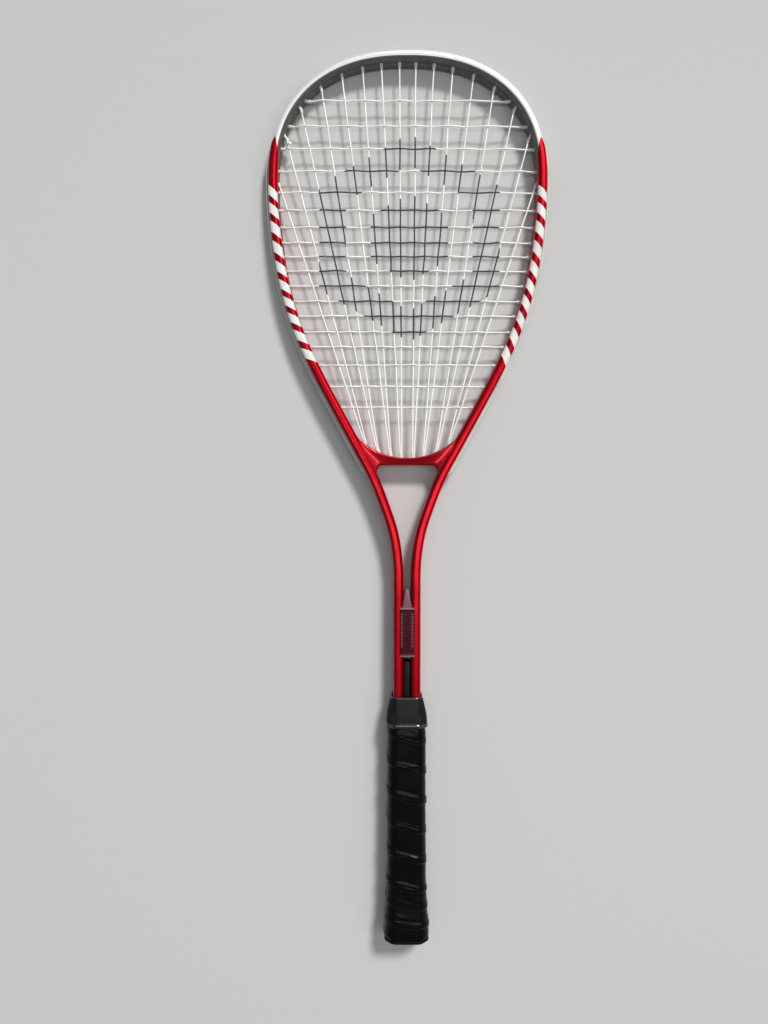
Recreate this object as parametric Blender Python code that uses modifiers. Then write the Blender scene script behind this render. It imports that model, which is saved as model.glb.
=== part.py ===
"""Squash racket: an aluminium extrusion bent into a hoop and two shafts, with
a moulded throat bridge, grommet strips, strings and a wrapped handle.

Frame of reference: the racket lies face up. +Y runs from the butt to the
crown, +X is to the right, +Z is out of the front face. The origin is the
centre of the butt end and Z = 0 is the middle of the frame's depth.
Dimensions are in millimetres and are scaled to metres by MM.

Places on the tube are given by two measures. Names ending in _S are distances
along its centre line from the top of the crown, positive on the right and
negative on the left. Names ending in _U are offsets outwards from that line.
"""

import math
from bisect import bisect_left, bisect_right
from collections import namedtuple

import bmesh
import bpy
from mathutils import Matrix, Vector

for old in list(bpy.data.objects):
    bpy.data.objects.remove(old, do_unlink=True)

MM = 0.001
GAP = 0.3                 # clearance between fitted parts

# ------------------------------------------------------------ hoop and shafts
TUBE_W = 7.6              # tube width in the plane of the hoop
TUBE_HALF_D = 9.0         # half of the frame's depth
TUBE_WALL = 0.9
CHANNEL_HALF = 2.45       # outer string channel, half width
CHANNEL_U = 1.0           # channel floor

HOOP_HALF_W = 107.5
CROWN_RISE = 98.2         # height of the crown above the hoop's widest point
WIDEST_Y = 586.0
CROWN_POWER = 2.28        # roundness of the crown (2 would be an ellipse)
SHAFT_HALF_W = 10.5       # outer edges of the parallel shafts
SHAFT_END_Y = 14.0        # the shafts end inside the handle
# outer edge of the hoop and shafts below the widest point: (Y, half width)
OUTLINE = [
    (276.0, SHAFT_HALF_W), (292.0, 11.2), (315.0, 15.2), (330.0, 20.2),
    (353.0, 29.3), (378.0, 42.6), (405.5, 57.6), (433.5, 72.5),
    (462.0, 85.7), (506.0, 99.2), (536.0, 104.2), (WIDEST_Y, HOOP_HALF_W),
]
CROWN_STEPS = 200         # points on a quarter of the crown's outline
OUTLINE_STEP_Y = 1.0      # spacing of the points below it
PATH_STEPS = 1500         # even steps from the crown to a shaft's end
NORMAL_SPAN = 3           # steps each way over which a normal is taken

# stations of the swept frame: distances round the crown, then heights
FRAME_CROWN_S = [
    0.0, 15.0, 30.0, 44.0, 57.0, 70.0, 83.0, 96.0, 109.0, 123.0, 138.0, 155.0,
]
FRAME_SIDE_Y = [
    560.0, 532.0, 506.0, 480.0, 456.0, 424.0, 388.0,
    364.0, 346.0, 331.0, 318.0, 305.0, 292.0, 274.0,
]

# -------------------------------------------------------- strings and grommets
STRING_R = 0.575
MAIN_Z = 0.65             # the mains leave the frame in front of mid depth
CROSS_Z = -MAIN_Z         # the crosses leave it behind mid depth
WEAVE = 1.32              # a cross passes a main at this distance
# holes for the mains, from the centre outwards
MAIN_CROWN_S = [6.5, 21.2, 36.9, 55.0, 75.1, 99.8, 128.6, 158.2]
TUBE_THROAT_S = 377.8     # doubled hole for the two outermost mains
# doubled holes of the bridge, from the centre outwards: (X, Y) of each end
BRIDGE_TIPS = [(4.7, 374.0), (13.0, 375.2), (23.2, 379.0)]
BRIDGE_EXITS = [(4.3, 366.6), (12.0, 366.6), (19.6, 366.6)]
PAIR_HALF = 1.1           # half spacing of the two strings in a doubled hole
CROSS_Y = [
    647.5, 627.8, 610.2, 592.9, 576.3, 562.5, 549.3, 537.3, 526.5,
    515.3, 503.8, 491.9, 480.4, 468.1, 456.6, 442.3, 425.7, 409.6,
]

STRIP_SPLIT_Y = 603.0     # crown strip ends and side strips begin
STRIP_SPLIT_GAP = 0.4     # each strip stops this far from the split
STRIP_END_Y = 356.0
STRIP_BASE = 0.8          # thickness of a strip's base
STRIP_U = CHANNEL_U + GAP + STRIP_BASE
RAIL_W = 0.65             # width of a strip's two rails
RAIL_U_SIDE = 6.0         # the rails stand proud of the tube
RAIL_U_CROWN = 4.55
CROWN_STRIP_STEPS = 26
SIDE_STRIP_STEPS = 20
TIP_U_CROWN = -7.2        # how far in a barrel's tip reaches
TIP_U_SIDE = -6.5
BARREL_R = 1.36
BARREL_SHORT = 0.25       # barrels stop this far below the base's top
BORE_R = 0.95
PAIR_BORE_TRIM = 0.05     # doubled bores are narrower by this along the tube
BRIDGE_HOLE_R = 1.65
FRAME_HOLE_R = 2.25       # centre to corner of the tube's square holes

# ---------------------------------------------------------------------- bridge
BRIDGE_R = 63.0           # upper edge of the bridge is an arc
BRIDGE_TOP_Y = 370.0
BRIDGE_LOW_Y = 364.3
BRIDGE_HALF_D = 8.4
BRIDGE_FOOT_Y = 358.2     # the wings follow the tubes down to here
BRIDGE_CORNER_X = 20.4    # the curved lower corners end here
BRIDGE_CHANNEL_DEPTH = 3.0
BRIDGE_CHANNEL_HALF_X = 21.8
THROAT_STRIP_HALF_X = 21.3
THROAT_STRIP_MID_X = 7.0
THROAT_RAIL = 4.3         # height of the throat strip's rails
BRIDGE_PIN_Y = 367.0
BRIDGE_PIN_R = 1.15
BRIDGE_PIN_HOLE_R = 1.5

# -------------------------------------------------------------- clip and neck
SHAFT_INNER_X = SHAFT_HALF_W - TUBE_W
WEB_HALF_W = SHAFT_INNER_X - GAP   # parts that fit between the shafts
CLIP_Y0, CLIP_Y1 = 217.5, 255.0
CLIP_TIP_Y = 271.0
CLIP_WEB_HALF_D = 6.8
TONGUE_OVERLAP = 2.0
TONGUE_HALF_D = 6.5
TONGUE_TAPER = 0.55
NECK_TOP_Y = 214.0
NECK_HALF_D = 7.4
NECK_TAPER = 0.6

# ---------------------------------------------------------------------- handle
CORE_W, CORE_D = 13.0, 11.7        # half width and half depth of the core
CORE_Y0, CORE_Y1 = 5.2, 172.0
GROOVE_OVERCUT = 2.0               # grooves are cut past the split plane
GRIP_Y0, GRIP_Y1 = 2.9, 170.5
TAPE_Y0, TAPE_Y1 = 164.4, 170.2
COLLAR_Y0, COLLAR_Y1 = 163.6, 187.0
COLLAR_CLEAR = 0.45                # round the two shafts
COLLAR_BORE_CHAMFER = 1.6
RIVETS = {"handle_pin_lower": 45.0, "handle_pin_upper": 138.0}   # heights Y
RIVET_HOLE_R = 1.5
RIVET_SEAT_R = 2.7
RIVET_SEAT_DEPTH = 1.4
RIVET_STEPS = 12
STAPLE_Y, STAPLE_X = 15.0, 4.6     # height, and half spacing of the legs
STAPLE_R = 0.35
STAPLE_BEND = 0.35
STAPLE_LEG_Z, STAPLE_BACK_Z = 10.4, 13.75   # leg tips and outer bar
STAPLE_HOLE_R = 0.8
CUT_PAST_Z = 20.0                  # drilled cuts run out past the handle

# ------------------------------------------------------ collections, materials
scene = bpy.context.scene
PARTS = bpy.data.collections.new("squash_racket")
CUTTERS = bpy.data.collections.new("cutters")
scene.collection.children.link(PARTS)
scene.collection.children.link(CUTTERS)


def material(name, rgb, roughness, metallic=0.0, alpha=1.0):
    mat = bpy.data.materials.new(name)
    mat.use_nodes = True
    shader = mat.node_tree.nodes["Principled BSDF"].inputs
    shader["Base Color"].default_value = (*rgb, 1.0)
    shader["Roughness"].default_value = roughness
    shader["Metallic"].default_value = metallic
    shader["Alpha"].default_value = alpha
    return mat


RED_PAINT = material("red_paint", rgb=(0.50, 0.006, 0.02), roughness=0.25, metallic=0.4)
RED_PLASTIC = material("red_plastic", rgb=(0.48, 0.006, 0.018), roughness=0.3)
STRIP_PLASTIC = material("strip_plastic", rgb=(0.55, 0.57, 0.54), roughness=0.45)
MAIN_NYLON = material("main_nylon", rgb=(0.80, 0.79, 0.72), roughness=0.35)
CROSS_NYLON = material("cross_nylon", rgb=(0.82, 0.81, 0.74), roughness=0.35)
SMOKE_PLASTIC = material("smoke_plastic", rgb=(0.12, 0.05, 0.07), roughness=0.2, alpha=0.6)
BLACK_PLASTIC = material("black_plastic", rgb=(0.012, 0.012, 0.013), roughness=0.5)
BLACK_RUBBER = material("black_rubber", rgb=(0.022, 0.024, 0.024), roughness=0.55)
GRIP_PU = material("grip_polyurethane", rgb=(0.008, 0.008, 0.009), roughness=0.35)
CORE_PLASTIC = material("core_plastic", rgb=(0.30, 0.28, 0.24), roughness=0.6)
STEEL = material("zinc_steel", rgb=(0.55, 0.55, 0.56), roughness=0.35, metallic=1.0)
TAPE = material("finishing_tape_vinyl", rgb=(0.02, 0.02, 0.022), roughness=0.4)


# ------------------------------------------------------------- object helpers
def add_part(obj, mat):
    PARTS.objects.link(obj)
    obj.data.materials.append(mat)
    return obj


def face_out(solid):
    """Point every face out of the solid."""
    bmesh.ops.recalc_face_normals(solid, faces=solid.faces)
    if solid.calc_volume(signed=True) < 0:
        bmesh.ops.reverse_faces(solid, faces=solid.faces)


def from_bmesh(name, solid):
    face_out(solid)
    mesh = bpy.data.meshes.new(name)
    solid.to_mesh(mesh)
    solid.free()
    return bpy.data.objects.new(name, mesh)


def boolean(obj, cutter_name, solid, operation="DIFFERENCE"):
    """Turn the bmesh into a hidden helper and combine obj with it."""
    cutter = from_bmesh(cutter_name, solid)
    CUTTERS.objects.link(cutter)
    cutter.hide_render = True
    cutter.display_type = "WIRE"
    mod = obj.modifiers.new(operation.lower(), "BOOLEAN")
    mod.operation = operation
    mod.object = cutter
    mod.solver = "EXACT"


# -------------------------------------------------------------- curve helpers
def curve_to_mesh(name, curve):
    """Evaluate a curve drawn in millimetres, weld its caps, scale it to
    metres and put it in a new mesh object."""
    curve_obj = bpy.data.objects.new(name, curve)
    scene.collection.objects.link(curve_obj)
    bpy.context.view_layer.update()
    depsgraph = bpy.context.evaluated_depsgraph_get()
    mesh = bpy.data.meshes.new_from_object(curve_obj.evaluated_get(depsgraph))
    mesh.name = name
    solid = bmesh.new()
    solid.from_mesh(mesh)
    bmesh.ops.remove_doubles(solid, verts=solid.verts, dist=0.002)
    bmesh.ops.scale(solid, vec=(MM, MM, MM), verts=solid.verts)
    if not any(edge.is_boundary for edge in solid.edges):
        face_out(solid)
    solid.to_mesh(mesh)
    solid.free()
    bpy.data.objects.remove(curve_obj, do_unlink=True)
    return bpy.data.objects.new(name, mesh)


def poly_spline(curve, points, cyclic=False):
    spline = curve.splines.new("POLY")
    spline.points.add(len(points) - 1)
    for slot, point in zip(spline.points, points):
        slot.co = (*Vector(point).to_3d(), 1.0)
    spline.use_cyclic_u = cyclic


def sweep(name, path, profile, caps):
    """Sweep a closed profile (u outwards, z) along a flat path."""
    section = bpy.data.curves.new(name + "_section", "CURVE")
    section.dimensions = "2D"
    section.fill_mode = "NONE"
    # a swept section's own x points to the inside of the hoop
    poly_spline(section, [(-u, z) for u, z in reversed(profile)], cyclic=True)
    section_obj = bpy.data.objects.new(name + "_section", section)
    scene.collection.objects.link(section_obj)
    curve = bpy.data.curves.new(name, "CURVE")
    curve.dimensions = "3D"
    curve.twist_mode = "Z_UP"
    curve.bevel_mode = "OBJECT"
    curve.bevel_object = section_obj
    curve.use_fill_caps = caps
    poly_spline(curve, path)
    obj = curve_to_mesh(name, curve)
    bpy.data.objects.remove(section_obj, do_unlink=True)
    return obj


def extruded(name, outline, half):
    """A flat outline filled on both faces and extruded by half each way."""
    curve = bpy.data.curves.new(name, "CURVE")
    curve.dimensions = "2D"
    curve.fill_mode = "BOTH"
    curve.extrude = half
    poly_spline(curve, outline, cyclic=True)
    return curve_to_mesh(name, curve)


def extruded_along_y(name, outline, y0, y1):
    """An (x, z) outline extruded from y0 to y1."""
    obj = extruded(name, outline, (y1 - y0) / 2)
    obj.data.transform(Matrix.Translation((0, (y0 + y1) / 2 * MM, 0))
                       @ Matrix.Rotation(math.pi / 2, 4, "X"))
    return obj


def wire(name, path, radius, resolution):
    curve = bpy.data.curves.new(name, "CURVE")
    curve.dimensions = "3D"
    curve.bevel_depth = radius
    curve.bevel_resolution = resolution
    curve.use_fill_caps = True
    poly_spline(curve, path)
    return curve_to_mesh(name, curve)


# -------------------------------------------------------------- solid helpers
def prism_into(solid, start, end, side, side_r, cross_r, segments=8):
    """Add a closed prism from start to end. side_r is its radius along side,
    cross_r its radius along the third direction."""
    start, end = Vector(start) * MM, Vector(end) * MM
    axis = (end - start).normalized()
    across = Vector(side)
    across = (across - axis * across.dot(axis)).normalized()
    basis = Matrix((across, axis.cross(across), axis)).transposed().to_4x4()
    basis.translation = (start + end) / 2
    scale = Matrix.Diagonal((side_r * MM, cross_r * MM, 1.0, 1.0))
    turn = Matrix.Rotation(math.pi / segments, 4, "Z")
    bmesh.ops.create_cone(
        solid, cap_ends=True, segments=segments, radius1=1.0, radius2=1.0,
        depth=(end - start).length, matrix=basis @ scale @ turn)


def box_into(solid, low, high, taper=1.0):
    """Add a box; taper scales the depth of its upper (+Y) end."""
    low, high = Vector(low) * MM, Vector(high) * MM
    middle = (low + high) / 2
    box = bmesh.ops.create_cube(
        solid, size=1.0,
        matrix=Matrix.Translation(middle) @ Matrix.Diagonal((*(high - low), 1.0)))
    for vert in box["verts"]:
        if vert.co.y > middle.y:
            vert.co.z *= taper


def mirror_x(points):
    """The points, then their mirror images in X in reverse order."""
    return points + [(-x, y) for x, y in reversed(points)]


def mirror_z(points):
    """The (u, z) points, then their mirror images in Z in reverse order."""
    return points + [(u, -z) for u, z in reversed(points)]


def octagon(half_w, half_d, chamfer_w, chamfer_d):
    return [
        (half_w, -half_d + chamfer_d), (half_w, half_d - chamfer_d),
        (half_w - chamfer_w, half_d), (-half_w + chamfer_w, half_d),
        (-half_w, half_d - chamfer_d), (-half_w, -half_d + chamfer_d),
        (-half_w + chamfer_w, -half_d), (half_w - chamfer_w, -half_d),
    ]


def grip_octagon(half_w, half_d):
    """The handle's eight flats: a broad front face and bevelled sides."""
    return octagon(half_w, half_d, half_w * 0.37, half_d * 0.42)


def core_octagon(half_w, half_d):
    """The squarer section of the core, which has to hold both shafts."""
    return octagon(half_w, half_d, half_w * 0.31, half_d * 0.30)


def collar_octagon(half_w, half_d):
    return octagon(half_w, half_d, half_w * 0.34, half_d * 0.36)


def sleeve(name, rings, floor=False):
    """Loft octagonal rings, each (Y, octagon), up the outside and back down
    the inside. The last ring joins the first, which leaves a hollow sleeve;
    with a floor those two rings are filled instead, which makes a cup."""
    solid = bmesh.new()
    loops = [[solid.verts.new((x * MM, y * MM, z * MM)) for x, z in ring]
             for y, ring in rings]
    bands = list(zip(loops, loops[1:]))
    if not floor:
        bands.append((loops[-1], loops[0]))
    for low, high in bands:
        for k in range(8):
            j = (k + 1) % 8
            solid.faces.new((low[k], low[j], high[j], high[k]))
    if floor:
        solid.faces.new(loops[0])
        solid.faces.new(loops[-1])
    return from_bmesh(name, solid)


# ------------------------------------------------- the hoop and shafts' path
OUTLINE_Y = [y for y, _ in OUTLINE]
OUTLINE_X = [x for _, x in OUTLINE]


def outline_slopes():
    """Slope of the outline at each of its points, level at both ends."""
    spans = [b - a for a, b in zip(OUTLINE_Y, OUTLINE_Y[1:])]
    chords = [(b - a) / span for a, b, span in zip(OUTLINE_X, OUTLINE_X[1:], spans)]
    middle = [(spans[i] * chords[i - 1] + spans[i - 1] * chords[i])
              / (spans[i] + spans[i - 1]) for i in range(1, len(spans))]
    return [0.0, *middle, 0.0]


OUTLINE_SLOPES = outline_slopes()


def outline_half_width(y):
    """Half width of the outer edge below the widest point, by cubic Hermite
    interpolation."""
    if y <= OUTLINE_Y[0]:
        return OUTLINE_X[0]
    i = bisect_left(OUTLINE_Y, y) - 1
    span = OUTLINE_Y[i + 1] - OUTLINE_Y[i]
    t = (y - OUTLINE_Y[i]) / span
    return ((2 * t**3 - 3 * t * t + 1) * OUTLINE_X[i]
            + (t**3 - 2 * t * t + t) * span * OUTLINE_SLOPES[i]
            + (3 * t * t - 2 * t**3) * OUTLINE_X[i + 1]
            + (t**3 - t * t) * span * OUTLINE_SLOPES[i + 1])


def running_length(points):
    total = [0.0]
    for a, b in zip(points, points[1:]):
        total.append(total[-1] + math.dist(a, b))
    return total


def value_at(values, lengths, dist):
    """Interpolate a list of pairs at a distance along their path."""
    i = min(bisect_right(lengths, dist) - 1, len(lengths) - 2)
    t = (dist - lengths[i]) / (lengths[i + 1] - lengths[i])
    return tuple(a + t * (b - a) for a, b in zip(values[i], values[i + 1]))


def outer_edge():
    """Outer edge of the right half from the crown to the shaft's end."""
    edge = []
    for i in range(CROWN_STEPS):
        angle = i * math.pi / 2 / CROWN_STEPS
        edge.append((HOOP_HALF_W * math.sin(angle) ** (2 / CROWN_POWER),
                     WIDEST_Y + CROWN_RISE * math.cos(angle) ** (2 / CROWN_POWER)))
    y = WIDEST_Y
    while y > SHAFT_END_Y + OUTLINE_STEP_Y / 2:
        edge.append((outline_half_width(y), y))
        y -= OUTLINE_STEP_Y
    edge.append((SHAFT_HALF_W, SHAFT_END_Y))
    return edge


def build_half_path():
    """Centre line of the right half from the crown down to the shaft's end,
    with outward normals and distances from the crown."""
    outer = outer_edge()
    lengths = running_length(outer)
    even = [value_at(outer, lengths, lengths[-1] * i / PATH_STEPS)
            for i in range(PATH_STEPS + 1)]
    centre, normal = [], []
    for i, (x, y) in enumerate(even):
        before = even[max(i - NORMAL_SPAN, 0)]
        after = even[min(i + NORMAL_SPAN, PATH_STEPS)]
        # the crown's top is level
        dx, dy = (after[0] - before[0], after[1] - before[1]) if i else (1.0, 0.0)
        size = math.hypot(dx, dy)
        nx, ny = -dy / size, dx / size
        normal.append((nx, ny))
        centre.append((x - nx * TUBE_W / 2, y - ny * TUBE_W / 2))
    return centre, normal, running_length(centre)


CENTRE, NORMAL, LENGTHS = build_half_path()
SHAFT_END_S = LENGTHS[-1]


def tube_normal(dist):
    """Outward normal of the tube at a signed distance from the crown."""
    nx, ny = value_at(NORMAL, LENGTHS, min(abs(dist), SHAFT_END_S))
    size = math.hypot(nx, ny)
    return (-nx if dist < 0 else nx) / size, ny / size


def tube_point(dist, offset=0.0):
    """Point at a signed distance from the crown, moved outwards by offset."""
    x, y = value_at(CENTRE, LENGTHS, min(abs(dist), SHAFT_END_S))
    nx, ny = tube_normal(dist)
    return (-x if dist < 0 else x) + nx * offset, y + ny * offset


def s_at_y(y, offset=0.0):
    """Distance along the tube where its line moved by offset has height y."""
    low, high = 0.0, SHAFT_END_S
    for _ in range(50):
        mid = (low + high) / 2
        if tube_point(mid, offset)[1] > y:
            low = mid
        else:
            high = mid
    return (low + high) / 2


def spaced(start, end, count):
    return [start + (end - start) * i / count for i in range(count + 1)]


# ----------------------------------------------------------------------- holes
STRIP_SPLIT_S = s_at_y(STRIP_SPLIT_Y)
BRIDGE_PIN_S = s_at_y(BRIDGE_PIN_Y)
CROSS_S = [s_at_y(y, TIP_U_CROWN if y > STRIP_SPLIT_Y else TIP_U_SIDE) for y in CROSS_Y]

# tip: inner end of the axis; outer: outer end; along: direction in the
# racket's plane across the axis; double: holds two strings side by side
Hole = namedtuple("Hole", "tip outer along double")


def tube_hole(dist, z, double=False):
    """A grommet hole in the tube."""
    tip_u = TIP_U_CROWN if abs(dist) < STRIP_SPLIT_S else TIP_U_SIDE
    nx, ny = tube_normal(dist)
    return Hole(Vector((*tube_point(dist, tip_u), z)),
                Vector((*tube_point(dist, STRIP_U), z)),
                Vector((-ny, nx, 0.0)), double)


def tube_throat_hole(side):
    return tube_hole(side * TUBE_THROAT_S, MAIN_Z, double=True)


def bridge_hole(k, side):
    (tip_x, tip_y), (exit_x, exit_y) = BRIDGE_TIPS[k], BRIDGE_EXITS[k]
    return Hole(Vector((side * tip_x, tip_y, MAIN_Z)),
                Vector((side * exit_x, exit_y, MAIN_Z)),
                Vector((1.0, 0.0, 0.0)), True)


# holes grouped by the strip that lines them
CROWN_HOLES = []
SIDE_HOLES = {-1: [], 1: []}
for side in (-1, 1):
    for dist, z in ([(s, MAIN_Z) for s in MAIN_CROWN_S]
                    + [(s, CROSS_Z) for s in CROSS_S]):
        group = CROWN_HOLES if dist < STRIP_SPLIT_S else SIDE_HOLES[side]
        group.append(tube_hole(side * dist, z))
    SIDE_HOLES[side].append(tube_throat_hole(side))
BRIDGE_HOLES = [bridge_hole(k, side) for side in (-1, 1) for k in range(3)]


def stretched(hole, before, after):
    """The hole's axis made longer at its inner and outer ends."""
    axis = (hole.outer - hole.tip).normalized()
    return hole.tip - axis * before, hole.outer + axis * after


def hole_into(solid, hole, before, after, radius, segments):
    """Add a prism on a hole's axis, wider if the hole is doubled."""
    start, end = stretched(hole, before, after)
    wide = radius + (PAIR_HALF if hole.double else 0.0)
    prism_into(solid, start, end, hole.along, wide, radius, segments)


def bridge_pin_into(solid, side, inner_u, outer_u, radius, segments=8):
    """Add a bridge pin, or its hole, along the tube's normal."""
    dist = side * BRIDGE_PIN_S
    nx, ny = tube_normal(dist)
    prism_into(solid, (*tube_point(dist, inner_u), 0.0), (*tube_point(dist, outer_u), 0.0),
               (-ny, nx, 0.0), radius, radius, segments)


# ----------------------------------------------------------------------- frame
def frame_profile():
    """Waisted extrusion: two rounded lobes, a crease on the inner side and
    the string channel on the outer side."""
    half_w, half_d = TUBE_W / 2, TUBE_HALF_D
    crease = (-half_w + 1.0, 0.0)
    front = [
        (-half_w, 3.5), (-half_w + 0.4, 6.9), (-half_w + 2.5, half_d),
        (half_w - 1.8, half_d - 0.1), (half_w - 0.05, 6.8),
        (half_w, CHANNEL_HALF + 0.3), (CHANNEL_U, CHANNEL_HALF),
    ]
    return [crease] + mirror_z(front)


def build_frame():
    right = FRAME_CROWN_S + [s_at_y(y) for y in FRAME_SIDE_Y] + [SHAFT_END_S]
    left = [-dist for dist in reversed(right[1:])]
    path = [tube_point(dist) for dist in left + right]
    frame = add_part(sweep("frame", path, frame_profile(), caps=False), RED_PAINT)
    wall = frame.modifiers.new("wall", "SOLIDIFY")
    wall.thickness = TUBE_WALL * MM
    wall.offset = -1.0
    wall.use_rim = True
    wall.use_even_offset = True

    holes = bmesh.new()
    for hole in CROWN_HOLES + SIDE_HOLES[-1] + SIDE_HOLES[1]:
        hole_into(holes, hole, 3.0, 4.0, FRAME_HOLE_R, segments=4)
    for side in (-1, 1):
        bridge_pin_into(holes, side, -6.0, -1.0, BRIDGE_PIN_HOLE_R)
    boolean(frame, "frame_holes", holes)


# -------------------------------------------------------------- grommet strips
def strip_profile(low, top, rail):
    """A base from low to top with two rails up to rail."""
    outer = CHANNEL_HALF - GAP
    inner = outer - RAIL_W
    return mirror_z([(top, inner), (rail, inner), (rail, outer), (low, outer)])


def tube_strip_profile(rail_u):
    return strip_profile(CHANNEL_U + GAP, STRIP_U, rail_u)


def build_strip(name, path, profile, holes):
    """A strip with a bored barrel at each hole."""
    strip = add_part(sweep(name, path, profile, caps=True), STRIP_PLASTIC)
    barrels = bmesh.new()
    bores = bmesh.new()
    for hole in holes:
        hole_into(barrels, hole, 0.0, -BARREL_SHORT, BARREL_R, 8 if hole.double else 6)
        start, end = stretched(hole, 1.0, 0.6)
        if hole.double:
            shift = hole.along.normalized() * PAIR_HALF
            for sign in (-1, 1):
                prism_into(bores, start + shift * sign, end + shift * sign, hole.along,
                           BORE_R - PAIR_BORE_TRIM, BORE_R, 6)
        else:
            prism_into(bores, start, end, hole.along, BORE_R, BORE_R, 6)
    boolean(strip, name + "_barrels", barrels, "UNION")
    boolean(strip, name + "_bores", bores)


def build_tube_strips():
    crown_end = STRIP_SPLIT_S - STRIP_SPLIT_GAP
    path = [tube_point(dist) for dist in spaced(-crown_end, crown_end, CROWN_STRIP_STEPS)]
    build_strip("crown_grommet_strip", path, tube_strip_profile(RAIL_U_CROWN), CROWN_HOLES)
    marks = spaced(STRIP_SPLIT_S + STRIP_SPLIT_GAP, s_at_y(STRIP_END_Y), SIDE_STRIP_STEPS)
    for side, name in ((-1, "left_grommet_strip"), (1, "right_grommet_strip")):
        path = [tube_point(dist) for dist in sorted(side * mark for mark in marks)]
        build_strip(name, path, tube_strip_profile(RAIL_U_SIDE), SIDE_HOLES[side])


def build_throat_strip():
    """The same section turned to face the butt, in the bridge's channel."""
    base = BRIDGE_LOW_Y + BRIDGE_CHANNEL_DEPTH - GAP
    path = [(x, base) for x in (THROAT_STRIP_HALF_X, THROAT_STRIP_MID_X,
                                -THROAT_STRIP_MID_X, -THROAT_STRIP_HALF_X)]
    build_strip("throat_grommet_strip", path,
                strip_profile(0.0, STRIP_BASE, THROAT_RAIL), BRIDGE_HOLES)


# ---------------------------------------------------------------------- bridge
def bridge_outline():
    arc_y = BRIDGE_TOP_Y + BRIDGE_R
    inner_u = -TUBE_W / 2 - GAP
    # follow the tube's inner edge down to where the arc meets it
    meet_s = s_at_y(400.0)
    while math.dist(tube_point(meet_s, inner_u), (0.0, arc_y)) < BRIDGE_R:
        meet_s += 0.1
    edge = [tube_point(dist, inner_u)
            for dist in spaced(meet_s, s_at_y(BRIDGE_FOOT_Y, inner_u), 4)]
    reach = math.asin(edge[0][0] / BRIDGE_R)
    arc = [(BRIDGE_R * math.sin(reach * i / 8), arc_y - BRIDGE_R * math.cos(reach * i / 8))
           for i in range(-8, 9)]
    foot_x, foot_y = edge[-1]
    fillet = []
    for i in range(1, 5):
        angle = math.pi / 2 * i / 4
        fillet.append((foot_x - (foot_x - BRIDGE_CORNER_X) * math.sin(angle),
                       foot_y + (BRIDGE_LOW_Y - foot_y) * (1 - math.cos(angle))))
    return arc + mirror_x(edge[1:] + fillet)


def build_bridge():
    bridge = add_part(extruded("bridge", bridge_outline(), BRIDGE_HALF_D), RED_PLASTIC)
    channel = bmesh.new()
    box_into(channel, (-BRIDGE_CHANNEL_HALF_X, 350.0, -CHANNEL_HALF),
             (BRIDGE_CHANNEL_HALF_X, BRIDGE_LOW_Y + BRIDGE_CHANNEL_DEPTH, CHANNEL_HALF))
    boolean(bridge, "bridge_channel", channel)
    holes = bmesh.new()
    for hole in BRIDGE_HOLES:
        hole_into(holes, hole, 3.0, 4.0, BRIDGE_HOLE_R, segments=8)
    for side in (-1, 1):
        hole_into(holes, tube_throat_hole(side), 3.0, -3.0, BRIDGE_HOLE_R, segments=8)
        bridge_pin_into(holes, side, -8.3, -1.0, BRIDGE_PIN_HOLE_R)
    boolean(bridge, "bridge_holes", holes)


def build_bridge_pins():
    """Hidden pins that locate the bridge's wings on the tubes."""
    for side, name in ((-1, "left_bridge_pin"), (1, "right_bridge_pin")):
        pin = bmesh.new()
        bridge_pin_into(pin, side, -8.0, -1.7, BRIDGE_PIN_R, segments=12)
        add_part(from_bmesh(name, pin), STEEL)


# --------------------------------------------------------------------- strings
STRING_CLEAR = 0.35       # a string bends this far beyond a hole's end
LOOP_U = STRIP_U + STRING_CLEAR + STRING_R     # strings in the outer channel
TURN = 0.8                # chamfer where a string turns into the channel
RUN_STEP = 9.0            # rough spacing of points along the channel
TIED_LENGTH = 4.0         # length of a tied end in the channel
STRAIGHT_SINE = 0.2       # gentler bends at a barrel's tip are a single point
KNEE_SHIFT = 1.1          # sharper bends move outwards in this proportion
BEND_LENGTH = 0.5         # length of each side of a rounded bend
U_TURN_DROP = 0.45        # chamfer of the turn between doubled bores,
U_TURN_SHARE = 0.2        # and its share of their spacing


def mouth(hole, toward):
    """Rounded bend at a barrel's tip, from inside the barrel outwards, where
    a string heads for a far point."""
    axis = (hole.tip - hole.outer).normalized()
    way = (Vector(toward) - hole.tip).normalized()
    sine = axis.cross(way).length
    knee = hole.tip + axis * (STRING_CLEAR + KNEE_SHIFT * sine)
    if sine < STRAIGHT_SINE:
        return [knee]
    return [knee - axis * BEND_LENGTH,
            knee + (way - axis) * BEND_LENGTH * 0.25,
            knee + way * BEND_LENGTH]


def channel_run(start, end, z):
    """String lying in the outer channel between two holes."""
    sign = 1 if end > start else -1
    count = max(1, round(abs(end - start) / RUN_STEP))
    points = [(*tube_point(start, LOOP_U - TURN), z)]
    for i in range(count + 1):
        dist = start + sign * TURN + (end - start - sign * 2 * TURN) * i / count
        points.append((*tube_point(dist, LOOP_U), z))
    points.append((*tube_point(end, LOOP_U - TURN), z))
    return points


def tied_end(dist, z, direction):
    """A string's last few millimetres, lying in the channel."""
    return [(*tube_point(dist, LOOP_U - TURN), z),
            (*tube_point(dist + direction * TURN, LOOP_U), z),
            (*tube_point(dist + direction * TIED_LENGTH, LOOP_U), z)]


def main_throat_bore(k, side):
    """The bore taken at the throat by main k, counted from the centre."""
    pair = k // 2
    hole = tube_throat_hole(side) if pair == 3 else bridge_hole(pair, side)
    away = hole.along.normalized() * side     # from the racket's middle
    shift = away * (PAIR_HALF if k % 2 else -PAIR_HALF)
    return hole._replace(tip=hole.tip + shift, outer=hole.outer + shift)


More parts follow.
